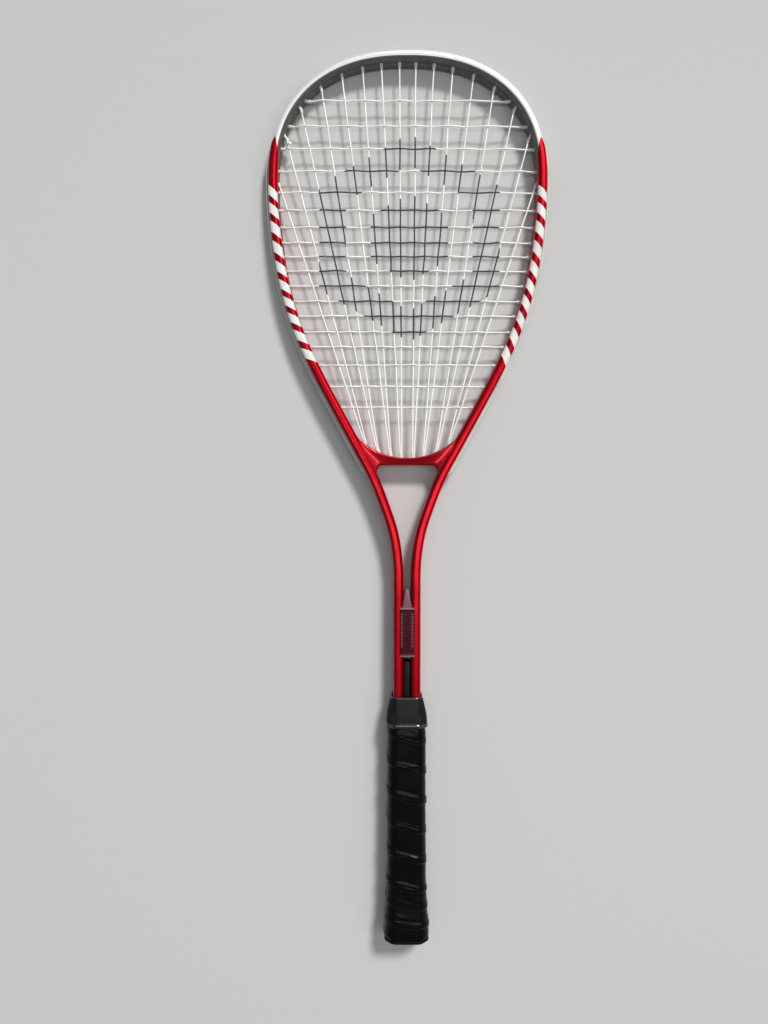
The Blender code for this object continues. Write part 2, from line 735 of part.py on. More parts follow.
# crown_s: its hole at the crown; throat: its bore at the throat; top, low:
# its bends at the two, each ending on the straight part between them
Main = namedtuple("Main", "crown_s throat top low")


def make_main(k, side):
    crown_s = side * MAIN_CROWN_S[k]
    crown = tube_hole(crown_s, MAIN_Z)
    throat = main_throat_bore(k, side)
    return Main(crown_s, throat, mouth(crown, throat.tip), mouth(throat, crown.tip))


# from left to right
MAINS = ([make_main(k, -1) for k in range(7, -1, -1)]
         + [make_main(k, 1) for k in range(8)])


def u_turn(first, second):
    """Turn round the web between two neighbouring bores at the throat."""
    axis = (first.outer - first.tip).normalized()
    start = first.outer + axis * (STRING_CLEAR + STRING_R)
    end = second.outer + axis * (STRING_CLEAR + STRING_R)
    return [start - axis * U_TURN_DROP, start + (end - start) * U_TURN_SHARE,
            end + (start - end) * U_TURN_SHARE, end - axis * U_TURN_DROP]


def build_main_string():
    """Down one main and up the next, with a run along the crown between."""
    path = tied_end(MAINS[0].crown_s, MAIN_Z, 1)[::-1]
    for i in range(0, len(MAINS), 2):
        down, up = MAINS[i:i + 2]
        path += down.top + down.low[::-1]
        path += u_turn(down.throat, up.throat)
        path += up.low + up.top[::-1]
        if i + 2 < len(MAINS):
            path += channel_run(up.crown_s, MAINS[i + 2].crown_s, MAIN_Z)
    path += tied_end(MAINS[-1].crown_s, MAIN_Z, -1)
    add_part(wire("main_string", path, STRING_R, resolution=1), MAIN_NYLON)


END_MARGIN_Y = 1.0        # a main is crossed only this far inside its ends
END_MARGIN_X = 1.5        # and this far inside the cross's own ends
NEAR_MAIN = 2.7           # mains closer than this are passed on the same side
NEAR_FRAME = 3.5          # mains closer than this to the frame are passed behind
WIDE_GAP = 5.0            # with more room than this a crossing is one point
FLAT_MAX = 0.5            # otherwise it is a flat of up to this half length,
FLAT_SHARE = 0.18         # and at most this share of the nearest gap


def find_crossings(row, y, left_x, right_x):
    """Where a cross meets the mains: (x, 1 for in front or -1 for behind)."""
    crossings = []
    for column, main in enumerate(MAINS):
        top, low = main.top[-1], main.low[-1]
        if not low.y + END_MARGIN_Y < y < top.y - END_MARGIN_Y:
            continue
        x = top.x + (top.y - y) / (top.y - low.y) * (low.x - top.x)
        if left_x + END_MARGIN_X < x < right_x - END_MARGIN_X:
            crossings.append((x, 1 if (row + column) % 2 else -1))
    for outer, inner, end_x in ((0, 1, left_x), (-1, -2, right_x)):
        x, sign = crossings[outer]
        if abs(crossings[inner][0] - x) < NEAR_MAIN:
            sign = crossings[inner][1]
        if abs(end_x - x) < NEAR_FRAME:
            sign = -1
        crossings[outer] = (x, sign)
    return crossings


def woven_points(crossings, y):
    points = []
    for n, (x, sign) in enumerate(crossings):
        z = MAIN_Z + sign * WEAVE
        gap = min(abs(x - crossings[m][0]) for m in (n - 1, n + 1)
                  if 0 <= m < len(crossings))
        if gap > WIDE_GAP:
            points.append((x, y, z))
        else:
            flat = min(FLAT_MAX, gap * FLAT_SHARE)
            points += [(x - flat, y, z), (x + flat, y, z)]
    return points


def build_cross_string():
    """To and fro across the mains, from the crown down to the throat."""
    path = tied_end(-CROSS_S[0], CROSS_Z, 1)[::-1]
    for row, (y, dist) in enumerate(zip(CROSS_Y, CROSS_S)):
        left = mouth(tube_hole(-dist, CROSS_Z), (0.0, y, CROSS_Z))
        right = mouth(tube_hole(dist, CROSS_Z), (0.0, y, CROSS_Z))
        crossings = find_crossings(row, y, left[-1][0], right[-1][0])
        points = left + woven_points(crossings, y) + right[::-1]
        side = -1 if row % 2 else 1           # where this row ends
        path += points[::side]
        if row < len(CROSS_Y) - 1:
            path += channel_run(side * dist, side * CROSS_S[row + 1], CROSS_Z)
        else:
            path += tied_end(side * dist, CROSS_Z, side)
    add_part(wire("cross_string", path, STRING_R, resolution=0), CROSS_NYLON)


# --------------------------------------------------------------- clip and neck
def build_shaft_clip():
    """A web between the shafts with a flange over them on each face, and a
    tapered tongue towards the throat."""
    quarter = [
        (WEB_HALF_W, 0.0), (WEB_HALF_W, CLIP_WEB_HALF_D), (WEB_HALF_W + 0.7, 7.9),
        (5.3, 9.75), (5.6, 10.0), (5.6, 10.5), (5.2, 10.8),
    ]
    front = mirror_x(quarter)
    outline = front + [(x, -z) for x, z in reversed(front[1:-1])]
    clip = add_part(extruded_along_y("shaft_clip", outline, CLIP_Y0, CLIP_Y1), SMOKE_PLASTIC)
    tongue = bmesh.new()
    box_into(tongue, (-WEB_HALF_W, CLIP_Y1 - TONGUE_OVERLAP, -TONGUE_HALF_D),
             (WEB_HALF_W, CLIP_TIP_Y, TONGUE_HALF_D), taper=TONGUE_TAPER)
    boolean(clip, "clip_tongue", tongue, "UNION")


def build_neck_plug():
    """A tapered block between the shafts above the core."""
    plug = bmesh.new()
    box_into(plug, (-WEB_HALF_W, CORE_Y1 + GAP, -NECK_HALF_D),
             (WEB_HALF_W, NECK_TOP_Y, NECK_HALF_D), taper=NECK_TAPER)
    add_part(from_bmesh("neck_plug", plug), BLACK_PLASTIC)


# ---------------------------------------------------------------------- handle
def staple_holes_into(solid, sign, start_z):
    for x in (-STAPLE_X, STAPLE_X):
        prism_into(solid, (x, STAPLE_Y, sign * start_z), (x, STAPLE_Y, sign * CUT_PAST_Z),
                   (1, 0, 0), STAPLE_HOLE_R, STAPLE_HOLE_R, 6)


def build_core_half(name, sign):
    """Front (sign 1) or back (-1) half of the core, round the two shafts."""
    section = [(-CORE_W, GAP / 2), *reversed(core_octagon(CORE_W, CORE_D)[1:5]),
               (CORE_W, GAP / 2)]
    outline = [(x, z * sign) for x, z in section]
    core = add_part(extruded_along_y(name, outline, CORE_Y0, CORE_Y1), CORE_PLASTIC)
    # grooves for the two shafts, rivet holes and the staple's leg holes
    holes = bmesh.new()
    for side in (-1, 1):
        x0, x1 = sorted((side * (SHAFT_INNER_X - GAP), side * (SHAFT_HALF_W + GAP)))
        z0, z1 = sorted((-GROOVE_OVERCUT * sign, (TUBE_HALF_D + GAP) * sign))
        box_into(holes, (x0, 0.0, z0), (x1, 200.0, z1))
    for y in RIVETS.values():
        prism_into(holes, (0, y, -CUT_PAST_Z * sign), (0, y, CUT_PAST_Z * sign),
                   (1, 0, 0), RIVET_HOLE_R, RIVET_HOLE_R)
    staple_holes_into(holes, sign, 9.9)
    boolean(core, name + "_holes", holes)
    # counterbores for the rivets' heads
    seats = bmesh.new()
    for y in RIVETS.values():
        prism_into(seats, (0, y, sign * (CORE_D - RIVET_SEAT_DEPTH)),
                   (0, y, sign * CUT_PAST_Z), (1, 0, 0), RIVET_SEAT_R, RIVET_SEAT_R, 10)
    boolean(core, name + "_seats", seats)


def build_rivet(name, y):
    """A turned rivet: a shank with a low head at each end, on the Z axis."""
    top, seat = CORE_D - 0.2, CORE_D - 1.1
    # half of the profile: (radius, z)
    turned = mirror_z([(0.0, top), (1.6, top), (2.3, seat + 0.25), (2.3, seat), (1.1, seat)])
    profile = bmesh.new()
    chain = [profile.verts.new((radius * MM, 0, z * MM)) for radius, z in turned]
    for pair in zip(chain, chain[1:]):
        profile.edges.new(pair)
    mesh = bpy.data.meshes.new(name)
    profile.to_mesh(mesh)
    profile.free()
    rivet = add_part(bpy.data.objects.new(name, mesh), STEEL)
    rivet.location = (0, y * MM, 0)
    lathe = rivet.modifiers.new("turn", "SCREW")
    lathe.axis = "Z"
    lathe.steps = lathe.render_steps = RIVET_STEPS
    lathe.use_merge_vertices = True
    lathe.merge_threshold = 0.0001


def build_butt_cap():
    """A flared cup over the core's lower end."""
    cap = add_part(sleeve("butt_cap", [
        (0.0, grip_octagon(16.4, 14.8)), (0.9, grip_octagon(17.1, 15.5)),
        (2.6, grip_octagon(17.1, 15.5)), (2.6, grip_octagon(15.3, 13.8)),
        (11.0, grip_octagon(15.2, 13.6)), (23.0, core_octagon(14.1, 12.75)),
        (23.0, core_octagon(13.3, 12.0)), (2.9, core_octagon(13.3, 12.0)),
    ], floor=True), BLACK_PLASTIC)
    holes = bmesh.new()
    for sign in (-1, 1):
        staple_holes_into(holes, sign, 10.0)
    boolean(cap, "cap_staple_holes", holes)


def build_staple(name, sign):
    left = [(-STAPLE_X, STAPLE_LEG_Z), (-STAPLE_X, STAPLE_BACK_Z - STAPLE_BEND),
            (-STAPLE_X + STAPLE_BEND, STAPLE_BACK_Z)]
    path = [(x, STAPLE_Y, z * sign) for x, z in mirror_x(left)]
    add_part(wire(name, path, STAPLE_R, resolution=1), STEEL)


def build_grip_wrap():
    """The wrap, as one plain sleeve over the cap and the core."""
    add_part(sleeve("grip_wrap", [
        (GRIP_Y0, grip_octagon(17.2, 15.6)), (10.0, grip_octagon(17.3, 15.7)),
        (20.0, grip_octagon(16.6, 15.1)), (40.0, grip_octagon(15.3, 13.8)),
        (160.0, grip_octagon(15.1, 13.8)), (163.0, core_octagon(14.3, 12.95)),
        (GRIP_Y1, core_octagon(14.2, 12.85)), (GRIP_Y1, core_octagon(13.3, 12.0)),
        (30.0, core_octagon(13.45, 12.15)), (24.0, core_octagon(14.6, 13.2)),
        (11.5, grip_octagon(15.6, 14.4)), (GRIP_Y0, grip_octagon(15.7, 14.4)),
    ]), GRIP_PU)


def build_finishing_tape():
    """Tape round the top of the wrap, under the collar."""
    outer, inner = core_octagon(14.8, 13.4), core_octagon(14.45, 13.1)
    add_part(sleeve("finishing_tape", [
        (TAPE_Y0, outer), (TAPE_Y1, outer), (TAPE_Y1, inner), (TAPE_Y0, inner),
    ]), TAPE)


def build_collar():
    """The collar slides up the parallel shafts, so its origin is on the
    slide's line, at its lower end."""
    mount = bpy.data.objects.new("collar_slide", None)
    mount.location = (0, COLLAR_Y0 * MM, 0)
    CUTTERS.objects.link(mount)
    bore = octagon(SHAFT_HALF_W + COLLAR_CLEAR, TUBE_HALF_D + COLLAR_CLEAR,
                   COLLAR_BORE_CHAMFER, COLLAR_BORE_CHAMFER)
    collar = add_part(sleeve("collar", [
        (COLLAR_Y0 + 0.3, core_octagon(15.3, 13.95)),
        (COLLAR_Y0, collar_octagon(15.8, 14.4)),
        (164.6, collar_octagon(16.2, 14.8)), (166.4, collar_octagon(16.2, 14.8)),
        (167.4, collar_octagon(15.9, 14.5)), (173.0, collar_octagon(15.6, 14.2)),
        (186.2, collar_octagon(12.6, 11.9)), (COLLAR_Y1, collar_octagon(12.1, 11.4)),
        (COLLAR_Y1, bore), (177.0, bore),
        (174.0, core_octagon(13.9, 12.4)), (171.6, core_octagon(15.1, 13.7)),
        (165.5, core_octagon(15.1, 13.7)),
    ]), BLACK_RUBBER)
    collar.data.transform(Matrix.Translation((0, -COLLAR_Y0 * MM, 0)))
    collar.parent = mount


# -------------------------------------------------------------------- assembly
build_frame()
build_tube_strips()
build_bridge()
build_throat_strip()
build_bridge_pins()
build_main_string()
build_cross_string()
build_shaft_clip()
build_neck_plug()
build_core_half("handle_core_front", 1)
build_core_half("handle_core_back", -1)
for rivet_name, rivet_y in RIVETS.items():
    build_rivet(rivet_name, rivet_y)
build_butt_cap()
build_staple("butt_staple_front", 1)
build_staple("butt_staple_back", -1)
build_grip_wrap()
build_finishing_tape()
build_collar()

# smooth shading with creases kept
for part in PARTS.objects:
    part.data.shade_smooth()
    part.data.set_sharp_from_angle(angle=math.radians(35))
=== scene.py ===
"""Looks of a squash racket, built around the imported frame.

The racket lies in the XY plane with its butt at y = 0 and its crown towards
+Y; +X is its right and +Z its front. Lengths are millimetres, and meshes are
scaled to metres when they are made.

Places on the hoop (crown, sides and both shafts) are given by "along", the
distance along its centre line from the top of the crown, positive on the
right, and by "out", the offset away from the string bed.
"""
import math
from collections import namedtuple

import bpy
import bmesh
import numpy as np
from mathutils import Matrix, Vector, noise


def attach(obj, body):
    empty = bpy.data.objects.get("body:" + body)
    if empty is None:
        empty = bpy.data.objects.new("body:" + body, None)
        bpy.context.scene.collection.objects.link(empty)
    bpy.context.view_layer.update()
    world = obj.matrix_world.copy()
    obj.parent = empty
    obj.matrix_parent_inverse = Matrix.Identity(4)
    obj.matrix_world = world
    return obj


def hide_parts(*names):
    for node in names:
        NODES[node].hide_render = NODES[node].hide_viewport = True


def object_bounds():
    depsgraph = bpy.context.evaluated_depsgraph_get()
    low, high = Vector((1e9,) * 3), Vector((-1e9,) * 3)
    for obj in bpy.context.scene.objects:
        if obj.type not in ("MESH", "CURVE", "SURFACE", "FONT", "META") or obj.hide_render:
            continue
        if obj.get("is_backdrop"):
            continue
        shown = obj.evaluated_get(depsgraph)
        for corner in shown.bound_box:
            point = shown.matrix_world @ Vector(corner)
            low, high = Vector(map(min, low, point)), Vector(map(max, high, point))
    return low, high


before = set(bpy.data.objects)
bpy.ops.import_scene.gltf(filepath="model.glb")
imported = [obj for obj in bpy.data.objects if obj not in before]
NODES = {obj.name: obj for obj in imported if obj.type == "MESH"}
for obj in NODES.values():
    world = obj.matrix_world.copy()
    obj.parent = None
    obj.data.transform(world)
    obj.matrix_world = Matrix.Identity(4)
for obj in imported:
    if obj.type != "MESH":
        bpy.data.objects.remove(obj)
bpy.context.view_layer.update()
MM = 0.001

scene = bpy.context.scene

# ---------------------------------------------------------------- dimensions
TUBE_WIDTH = 7.6
CHANNEL_HALF, CHANNEL_OUT = 2.45, 1.0    # groove in the outer wall: half width, floor
# the crown's outer edge is a superellipse centred at CROWN_Y
CROWN_HALF_WIDTH, CROWN_RISE, CROWN_Y, CROWN_POWER = 107.5, 98.2, 586.0, 2.28
SHAFT_END_Y = 14.0
# outer edge below the crown: y, half width
OUTLINE = [
    (276.0, 10.5), (292.0, 11.2), (315.0, 15.2), (330.0, 20.2), (353.0, 29.3),
    (378.0, 42.6), (405.5, 57.6), (433.5, 72.5), (462.0, 85.7), (506.0, 99.2),
    (536.0, 104.2), (CROWN_Y, CROWN_HALF_WIDTH),
]

STRING_RADIUS = 0.60
MAIN_Z = 0.65              # where the mains leave their holes
CROSS_Z = -MAIN_Z
BED_Z = 0.65               # middle of the weave
MAIN_SWING, CROSS_SWING = 0.46, 0.77
# x, y of each right-hand main near the crown, from the middle outwards
MAIN_TOP = [(6.33, 675.3), (20.37, 673.4), (34.85, 670.1), (50.8, 664.6),
            (66.7, 655.3), (82.3, 639.1), (93.6, 616.5), (100.4, 584.5)]
# x, y of the throat barrels' tips, and of the holes under the bridge; each
# hole takes two strings
PAIR_TIPS = [(4.85, 374.4), (13.2, 375.4), (23.6, 379.2), (33.3, 385.0)]
PAIR_EXITS = [(4.3, 366.6), (12.0, 366.6), (19.6, 366.6)]
PAIR_HALF_GAP = 0.66
CROSS_Y = [
    647.5, 627.8, 610.2, 592.9, 576.3, 562.5, 549.3, 537.3, 526.5,
    515.3, 503.8, 491.9, 480.4, 468.1, 456.6, 442.3, 425.7, 409.6,
]

STRIP_SPLIT_Y, STRIP_END_Y = 603.0, 356.0
STRIP_GAP = 0.4            # from the split to each strip's end
STRIP_OUT, RAIL_OUT_SIDE, RAIL_OUT_CROWN = 2.1, 6.0, 4.55
LOOP_OUT = STRIP_OUT + 0.30 + STRING_RADIUS    # strings lying on a strip
WALL_OUT = -3.0

BRIDGE_RADIUS, BRIDGE_TOP_Y, BRIDGE_LOW_Y = 55.0, 370.0, 364.3
BRIDGE_GROOVE = 2.7        # depth of the groove under the bridge


# ---------------------------------------------------------------- line tools
def smooth_noise(point, scale, seed):
    x, y, z = point
    return noise.noise(Vector((x * scale + seed, y * scale - seed, z * scale + 2 * seed)))


def unit(vector):
    return vector / np.linalg.norm(vector)


def run_lengths(points):
    """Distance of each point along a line."""
    return np.r_[0, np.cumsum(np.linalg.norm(np.diff(points, axis=0), axis=1))]


def at_distance(where, distances, points):
    return np.stack([np.interp(where, distances, column) for column in points.T], axis=-1)


def filtered(points, kernel):
    return np.stack([np.convolve(column, kernel, "valid") for column in points.T], axis=-1)


def bezier(share, *points):
    while len(points) > 1:
        points = [a * (1 - share) + b * share for a, b in zip(points, points[1:])]
    return points[0]


def chaikin(points, rounds=2, closed=True):
    """Cut the corners of a line, a quarter of the way along each edge."""
    points = np.asarray(points, float)
    for _ in range(rounds):
        following = np.roll(points, -1, axis=0)
        cut = np.stack([points * 0.75 + following * 0.25, points * 0.25 + following * 0.75], axis=1)
        if not closed:
            cut = cut[:-1]
        cut = cut.reshape(-1, points.shape[1])
        points = cut if closed else np.vstack([points[:1], cut, points[-1:]])
    return points


def four_way(quarter):
    """Mirror the +x +z quarter of a section into a whole loop."""
    half = quarter + [(-x, z) for x, z in reversed(quarter[:-1])]
    return np.array(half + [(x, -z) for x, z in reversed(half)][1:-1])


def level_ring(loop, y):
    """A loop of x, z placed at height y."""
    return np.c_[loop[:, 0], np.full(len(loop), y), loop[:, 1]]


# ---------------------------------------------------------------- mesh tools
def make_mesh(name, verts, faces, smooth=True):
    mesh = bpy.data.meshes.new(name)
    mesh.from_pydata([tuple(vert) for vert in np.asarray(verts, float) * MM], [], faces)
    if smooth:
        mesh.shade_smooth()
    obj = bpy.data.objects.new(name, mesh)
    scene.collection.objects.link(obj)
    return obj


def dress(obj, *looks):
    obj.data.materials.clear()
    for look in looks:
        obj.data.materials.append(look)


def loft(rings, closed):
    """Join a (count, sides, 3) array of rings, capped unless it closes up."""
    count, sides, _ = rings.shape
    faces = []
    for i in range(count if closed else count - 1):
        here, there = i * sides, (i + 1) % count * sides
        for k in range(sides):
            j = (k + 1) % sides
            faces.append((here + k, here + j, there + j, there + k))
    if not closed:
        faces.append(tuple(range(sides))[::-1])
        faces.append(tuple(range((count - 1) * sides, count * sides)))
    return rings.reshape(-1, 3), faces


class Shapes:
    """Collects several closed shapes into one mesh."""

    def __init__(self):
        self.verts, self.faces, self.attributes = [], [], {}
        self.count = 0

    def add(self, rings, closed=False, **attributes):
        """Loft rings; attribute values are spread over (ring, side)."""
        rings = np.asarray(rings, float)
        verts, faces = loft(rings, closed)
        self.verts.append(verts)
        self.faces += [tuple(i + self.count for i in face) for face in faces]
        for key, value in attributes.items():
            spread = np.broadcast_to(value, rings.shape[:2]).ravel()
            self.attributes.setdefault(key, []).append((self.count, spread))
        self.count += len(verts)

    def finish(self, name, looks, replaces, sharp=None, body="racket", split=None):
        """Make the object; faces from split onwards take the second look."""
        obj = make_mesh(name, np.concatenate(self.verts), self.faces)
        mesh = obj.data
        for key, chunks in self.attributes.items():
            data = np.zeros(self.count, np.float32)
            for start, values in chunks:
                data[start:start + len(values)] = values
            mesh.attributes.new(key, "FLOAT", "POINT").data.foreach_set("value", data)
        bm = bmesh.new()
        bm.from_mesh(mesh)
        bmesh.ops.recalc_face_normals(bm, faces=bm.faces)
        bm.to_mesh(mesh)
        bm.free()
        dress(obj, *looks)
        if split is not None:
            index = np.zeros(len(mesh.polygons), np.int32)
            index[split:] = 1
            mesh.polygons.foreach_set("material_index", index)
        if sharp is not None:
            mesh.shade_smooth()
            mesh.set_sharp_from_angle(angle=math.radians(sharp))
        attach(obj, body)
        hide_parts(replaces)


# ------------------------------------------------------- the hoop's centre line
def outline_half_width(y):
    """Hermite curve through OUTLINE, upright at both of its ends."""
    heights, widths = zip(*OUTLINE)
    if y <= heights[0]:
        return widths[0]
    spans = np.diff(heights)
    slopes = np.diff(widths) / spans
    tangents = [0.0] + [
        (spans[i] * slopes[i - 1] + spans[i - 1] * slopes[i]) / (spans[i] + spans[i - 1])
        for i in range(1, len(slopes))] + [0.0]
    i = next(i for i in range(len(spans)) if y <= heights[i + 1])
    t = (y - heights[i]) / spans[i]
    return ((2 * t**3 - 3 * t * t + 1) * widths[i]
            + (t**3 - 2 * t * t + t) * spans[i] * tangents[i]
            + (3 * t * t - 2 * t**3) * widths[i + 1]
            + (t**3 - t * t) * spans[i] * tangents[i + 1])


def build_half_path(crown_steps=400, count=3000, tangent_reach=8, smooth_reach=15):
    """Centre line, outward normals and distances of the right half."""
    outer = []
    power = 2 / CROWN_POWER
    for i in range(crown_steps):
        angle = i * math.pi / 2 / crown_steps
        outer.append((CROWN_HALF_WIDTH * math.sin(angle) ** power,
                      CROWN_Y + CROWN_RISE * math.cos(angle) ** power))
    for y in np.arange(CROWN_Y, SHAFT_END_Y + 0.5, -1.0):
        outer.append((outline_half_width(y), y))
    outer.append((OUTLINE[0][1], SHAFT_END_Y))
    outer = np.array(outer)
    distances = run_lengths(outer)
    even = at_distance(np.linspace(0, distances[-1], count + 1), distances, outer)
    i = np.arange(count + 1)
    tangent = even[np.minimum(i + tangent_reach, count)] - even[np.maximum(i - tangent_reach, 0)]
    tangent[0] = (1.0, 0.0)
    tangent /= np.hypot(tangent[:, 0], tangent[:, 1])[:, None]
    # light smoothing, so that the normals turn evenly
    normal = np.c_[-tangent[:, 1], tangent[:, 0]]
    window = 2 * smooth_reach + 1
    padded = np.concatenate([normal[1:smooth_reach + 1][::-1] * (-1, 1), normal,
                             np.repeat(normal[-1:], smooth_reach, 0)])
    normal = filtered(padded, np.ones(window) / window)
    normal /= np.hypot(normal[:, 0], normal[:, 1])[:, None]
    centre = even - normal * TUBE_WIDTH / 2
    return centre, normal, run_lengths(centre)


CENTRE, NORMAL, DIST = build_half_path()
TOTAL = float(DIST[-1])


def station(along, side=1, out=0.0):
    """Point and outward normal on the hoop."""
    if along < 0:
        along, side = -along, -side
    along = min(along, TOTAL)
    normal = at_distance(along, DIST, NORMAL)
    normal = normal / math.hypot(*normal)
    flip = np.array((side, 1))
    return (at_distance(along, DIST, CENTRE) + normal * out) * flip, normal * flip


def point_at(along, out=0.0):
    return station(along, out=out)[0]


def along_at_y(y):
    low, high = 0.0, TOTAL
    for _ in range(40):
        middle = (low + high) / 2
        if point_at(middle)[1] > y:
            low = middle
        else:
            high = middle
    return (low + high) / 2


def locate(x, y):
    """Distance along the right half of the hoop and offset from it."""
    i = int(np.argmin((CENTRE[:, 0] - x) ** 2 + (CENTRE[:, 1] - y) ** 2))
    return float(DIST[i]), float((np.array((x, y)) - CENTRE[i]) @ NORMAL[i])


def sweep_rings(marks, section):
    """Rings of a section (out, z) at signed distances along the hoop."""
    rings = []
    for along in marks:
        centre, normal = station(along)
        rings.append(np.c_[centre + np.outer(section[:, 0], normal), section[:, 1]])
    return np.array(rings)


# ------------------------------------------------------------ material nodes
class Value:
    """An output of a shader node; operators on it add Math nodes."""

    def __init__(self, mat, socket):
        self.mat, self.socket = mat, socket

    def __add__(self, other):
        return self.mat.math("ADD", self, other)

    def __sub__(self, other):
        return self.mat.math("SUBTRACT", self, other)

    def __rsub__(self, other):
        return self.mat.math("SUBTRACT", other, self)

    def __mul__(self, other):
        return self.mat.math("MULTIPLY", self, other)

    def __truediv__(self, other):
        return self.mat.math("DIVIDE", self, other)

    def __pow__(self, other):
        return self.mat.math("POWER", self, other)

    def __gt__(self, other):
        return self.mat.math("GREATER_THAN", self, other)

    def __lt__(self, other):
        return self.mat.math("LESS_THAN", self, other)

    def __abs__(self):
        return self.mat.math("ABSOLUTE", self)

    def remap(self, span=(0.0, 1.0), to=(0.0, 1.0)):
        """Map span linearly to another range, clamped to it."""
        inputs = dict(enumerate((self, *span, *to)))
        return self.mat.node("ShaderNodeMapRange", inputs)


class Mat:
    """Short-hand for building a node material."""

    def __init__(self, name):
        self.material = bpy.data.materials.new(name)
        self.material.use_nodes = True
        self.tree = self.material.node_tree
        self.object_coords = None

    def put(self, socket, value):
        if isinstance(value, Value):
            self.tree.links.new(value.socket, socket)
        elif socket.type == "RGBA":
            socket.default_value = (*value, 1.0)
        else:
            socket.default_value = value

    def node(self, kind, inputs=None, output=0, **settings):
        node = self.tree.nodes.new(kind)
        for key, value in settings.items():
            setattr(node, key, value)
        for key, value in (inputs or {}).items():
            self.put(node.inputs[key], value)
        return Value(self, node.outputs[output])

    def coords(self):
        if self.object_coords is None:
            self.object_coords = self.node("ShaderNodeTexCoord", output="Object")
        return self.object_coords

    def attr(self, name):
        return self.node("ShaderNodeAttribute", output="Fac", attribute_name=name)

    def math(self, operation, first, second=None, clamp=False):
        inputs = {0: first} if second is None else {0: first, 1: second}
        return self.node("ShaderNodeMath", inputs, operation=operation, use_clamp=clamp)

    def split(self, vector):
        x = self.node("ShaderNodeSeparateXYZ", {0: vector})
        return [Value(self, socket) for socket in x.socket.node.outputs]

    def mapping(self, scale, rotation=(0, 0, 0)):
        return self.node("ShaderNodeMapping", {
            "Vector": self.coords(), "Scale": scale, "Rotation": rotation})

    def noise(self, scale, detail=4.0, rough=0.55, vector=None, distortion=0.0):
        return self.node("ShaderNodeTexNoise", {
            "Vector": vector or self.coords(), "Scale": scale, "Detail": detail,
            "Roughness": rough, "Distortion": distortion}, "Fac")

    def voronoi(self, scale, feature="F1"):
        return self.node("ShaderNodeTexVoronoi", {"Vector": self.coords(), "Scale": scale},
                         "Distance", feature=feature)

    def mix(self, share, under, over):
        inputs = {0: share, 6: under, 7: over}
        return self.node("ShaderNodeMix", inputs, 2, data_type="RGBA")

    def dust(self, colour, tint, amount, specks, patches):
        """Specks (noise scale, low, high) that gather in patches (noise
        scale, detail, low, high)."""
        fine = self.noise(scale=specks[0], detail=2.0).remap(span=specks[1:])
        broad = self.noise(scale=patches[0], detail=patches[1]).remap(span=patches[2:])
        return self.mix(fine * broad * amount, colour, tint)

    def bump(self, height, strength, distance, normal=None):
        inputs = {"Strength": strength, "Distance": distance, "Height": height}
        if normal is not None:
            inputs["Normal"] = normal
        return self.node("ShaderNodeBump", inputs)

    def surface(self, **values):
        """Set the Principled BSDF's inputs and return the material."""
        bsdf = self.tree.nodes["Principled BSDF"]
        for key, value in values.items():
            self.put(bsdf.inputs[key.replace("_", " ")], value)
        return self.material


# ----------------------------------------------------------------- materials
TIP_ALONG = along_at_y(616.0)      # tip of the red tongue
BAND_START = along_at_y(576.5)
BAND_PITCH = 14.2
BAND_LENGTH = BAND_PITCH * 9.6
STENCIL_X, STENCIL_Y = 1.5, 541.0
# half widths across the flats of the stencil's hexagons
STENCIL_CORE, STENCIL_RING_IN, STENCIL_RING_OUT = 30.0, 49.0, 70.0


def metallic_red(mat, cloud, flakes):
    red = mat.mix(cloud.remap(span=(0.3, 0.7)),
                  under=(0.35, 0.0006, 0.006), over=(0.52, 0.001, 0.011))
    flake_share = 0.25
    return mat.mix(flakes.remap(span=(0.60, 0.80)) * flake_share, red, over=(0.86, 0.02, 0.05))


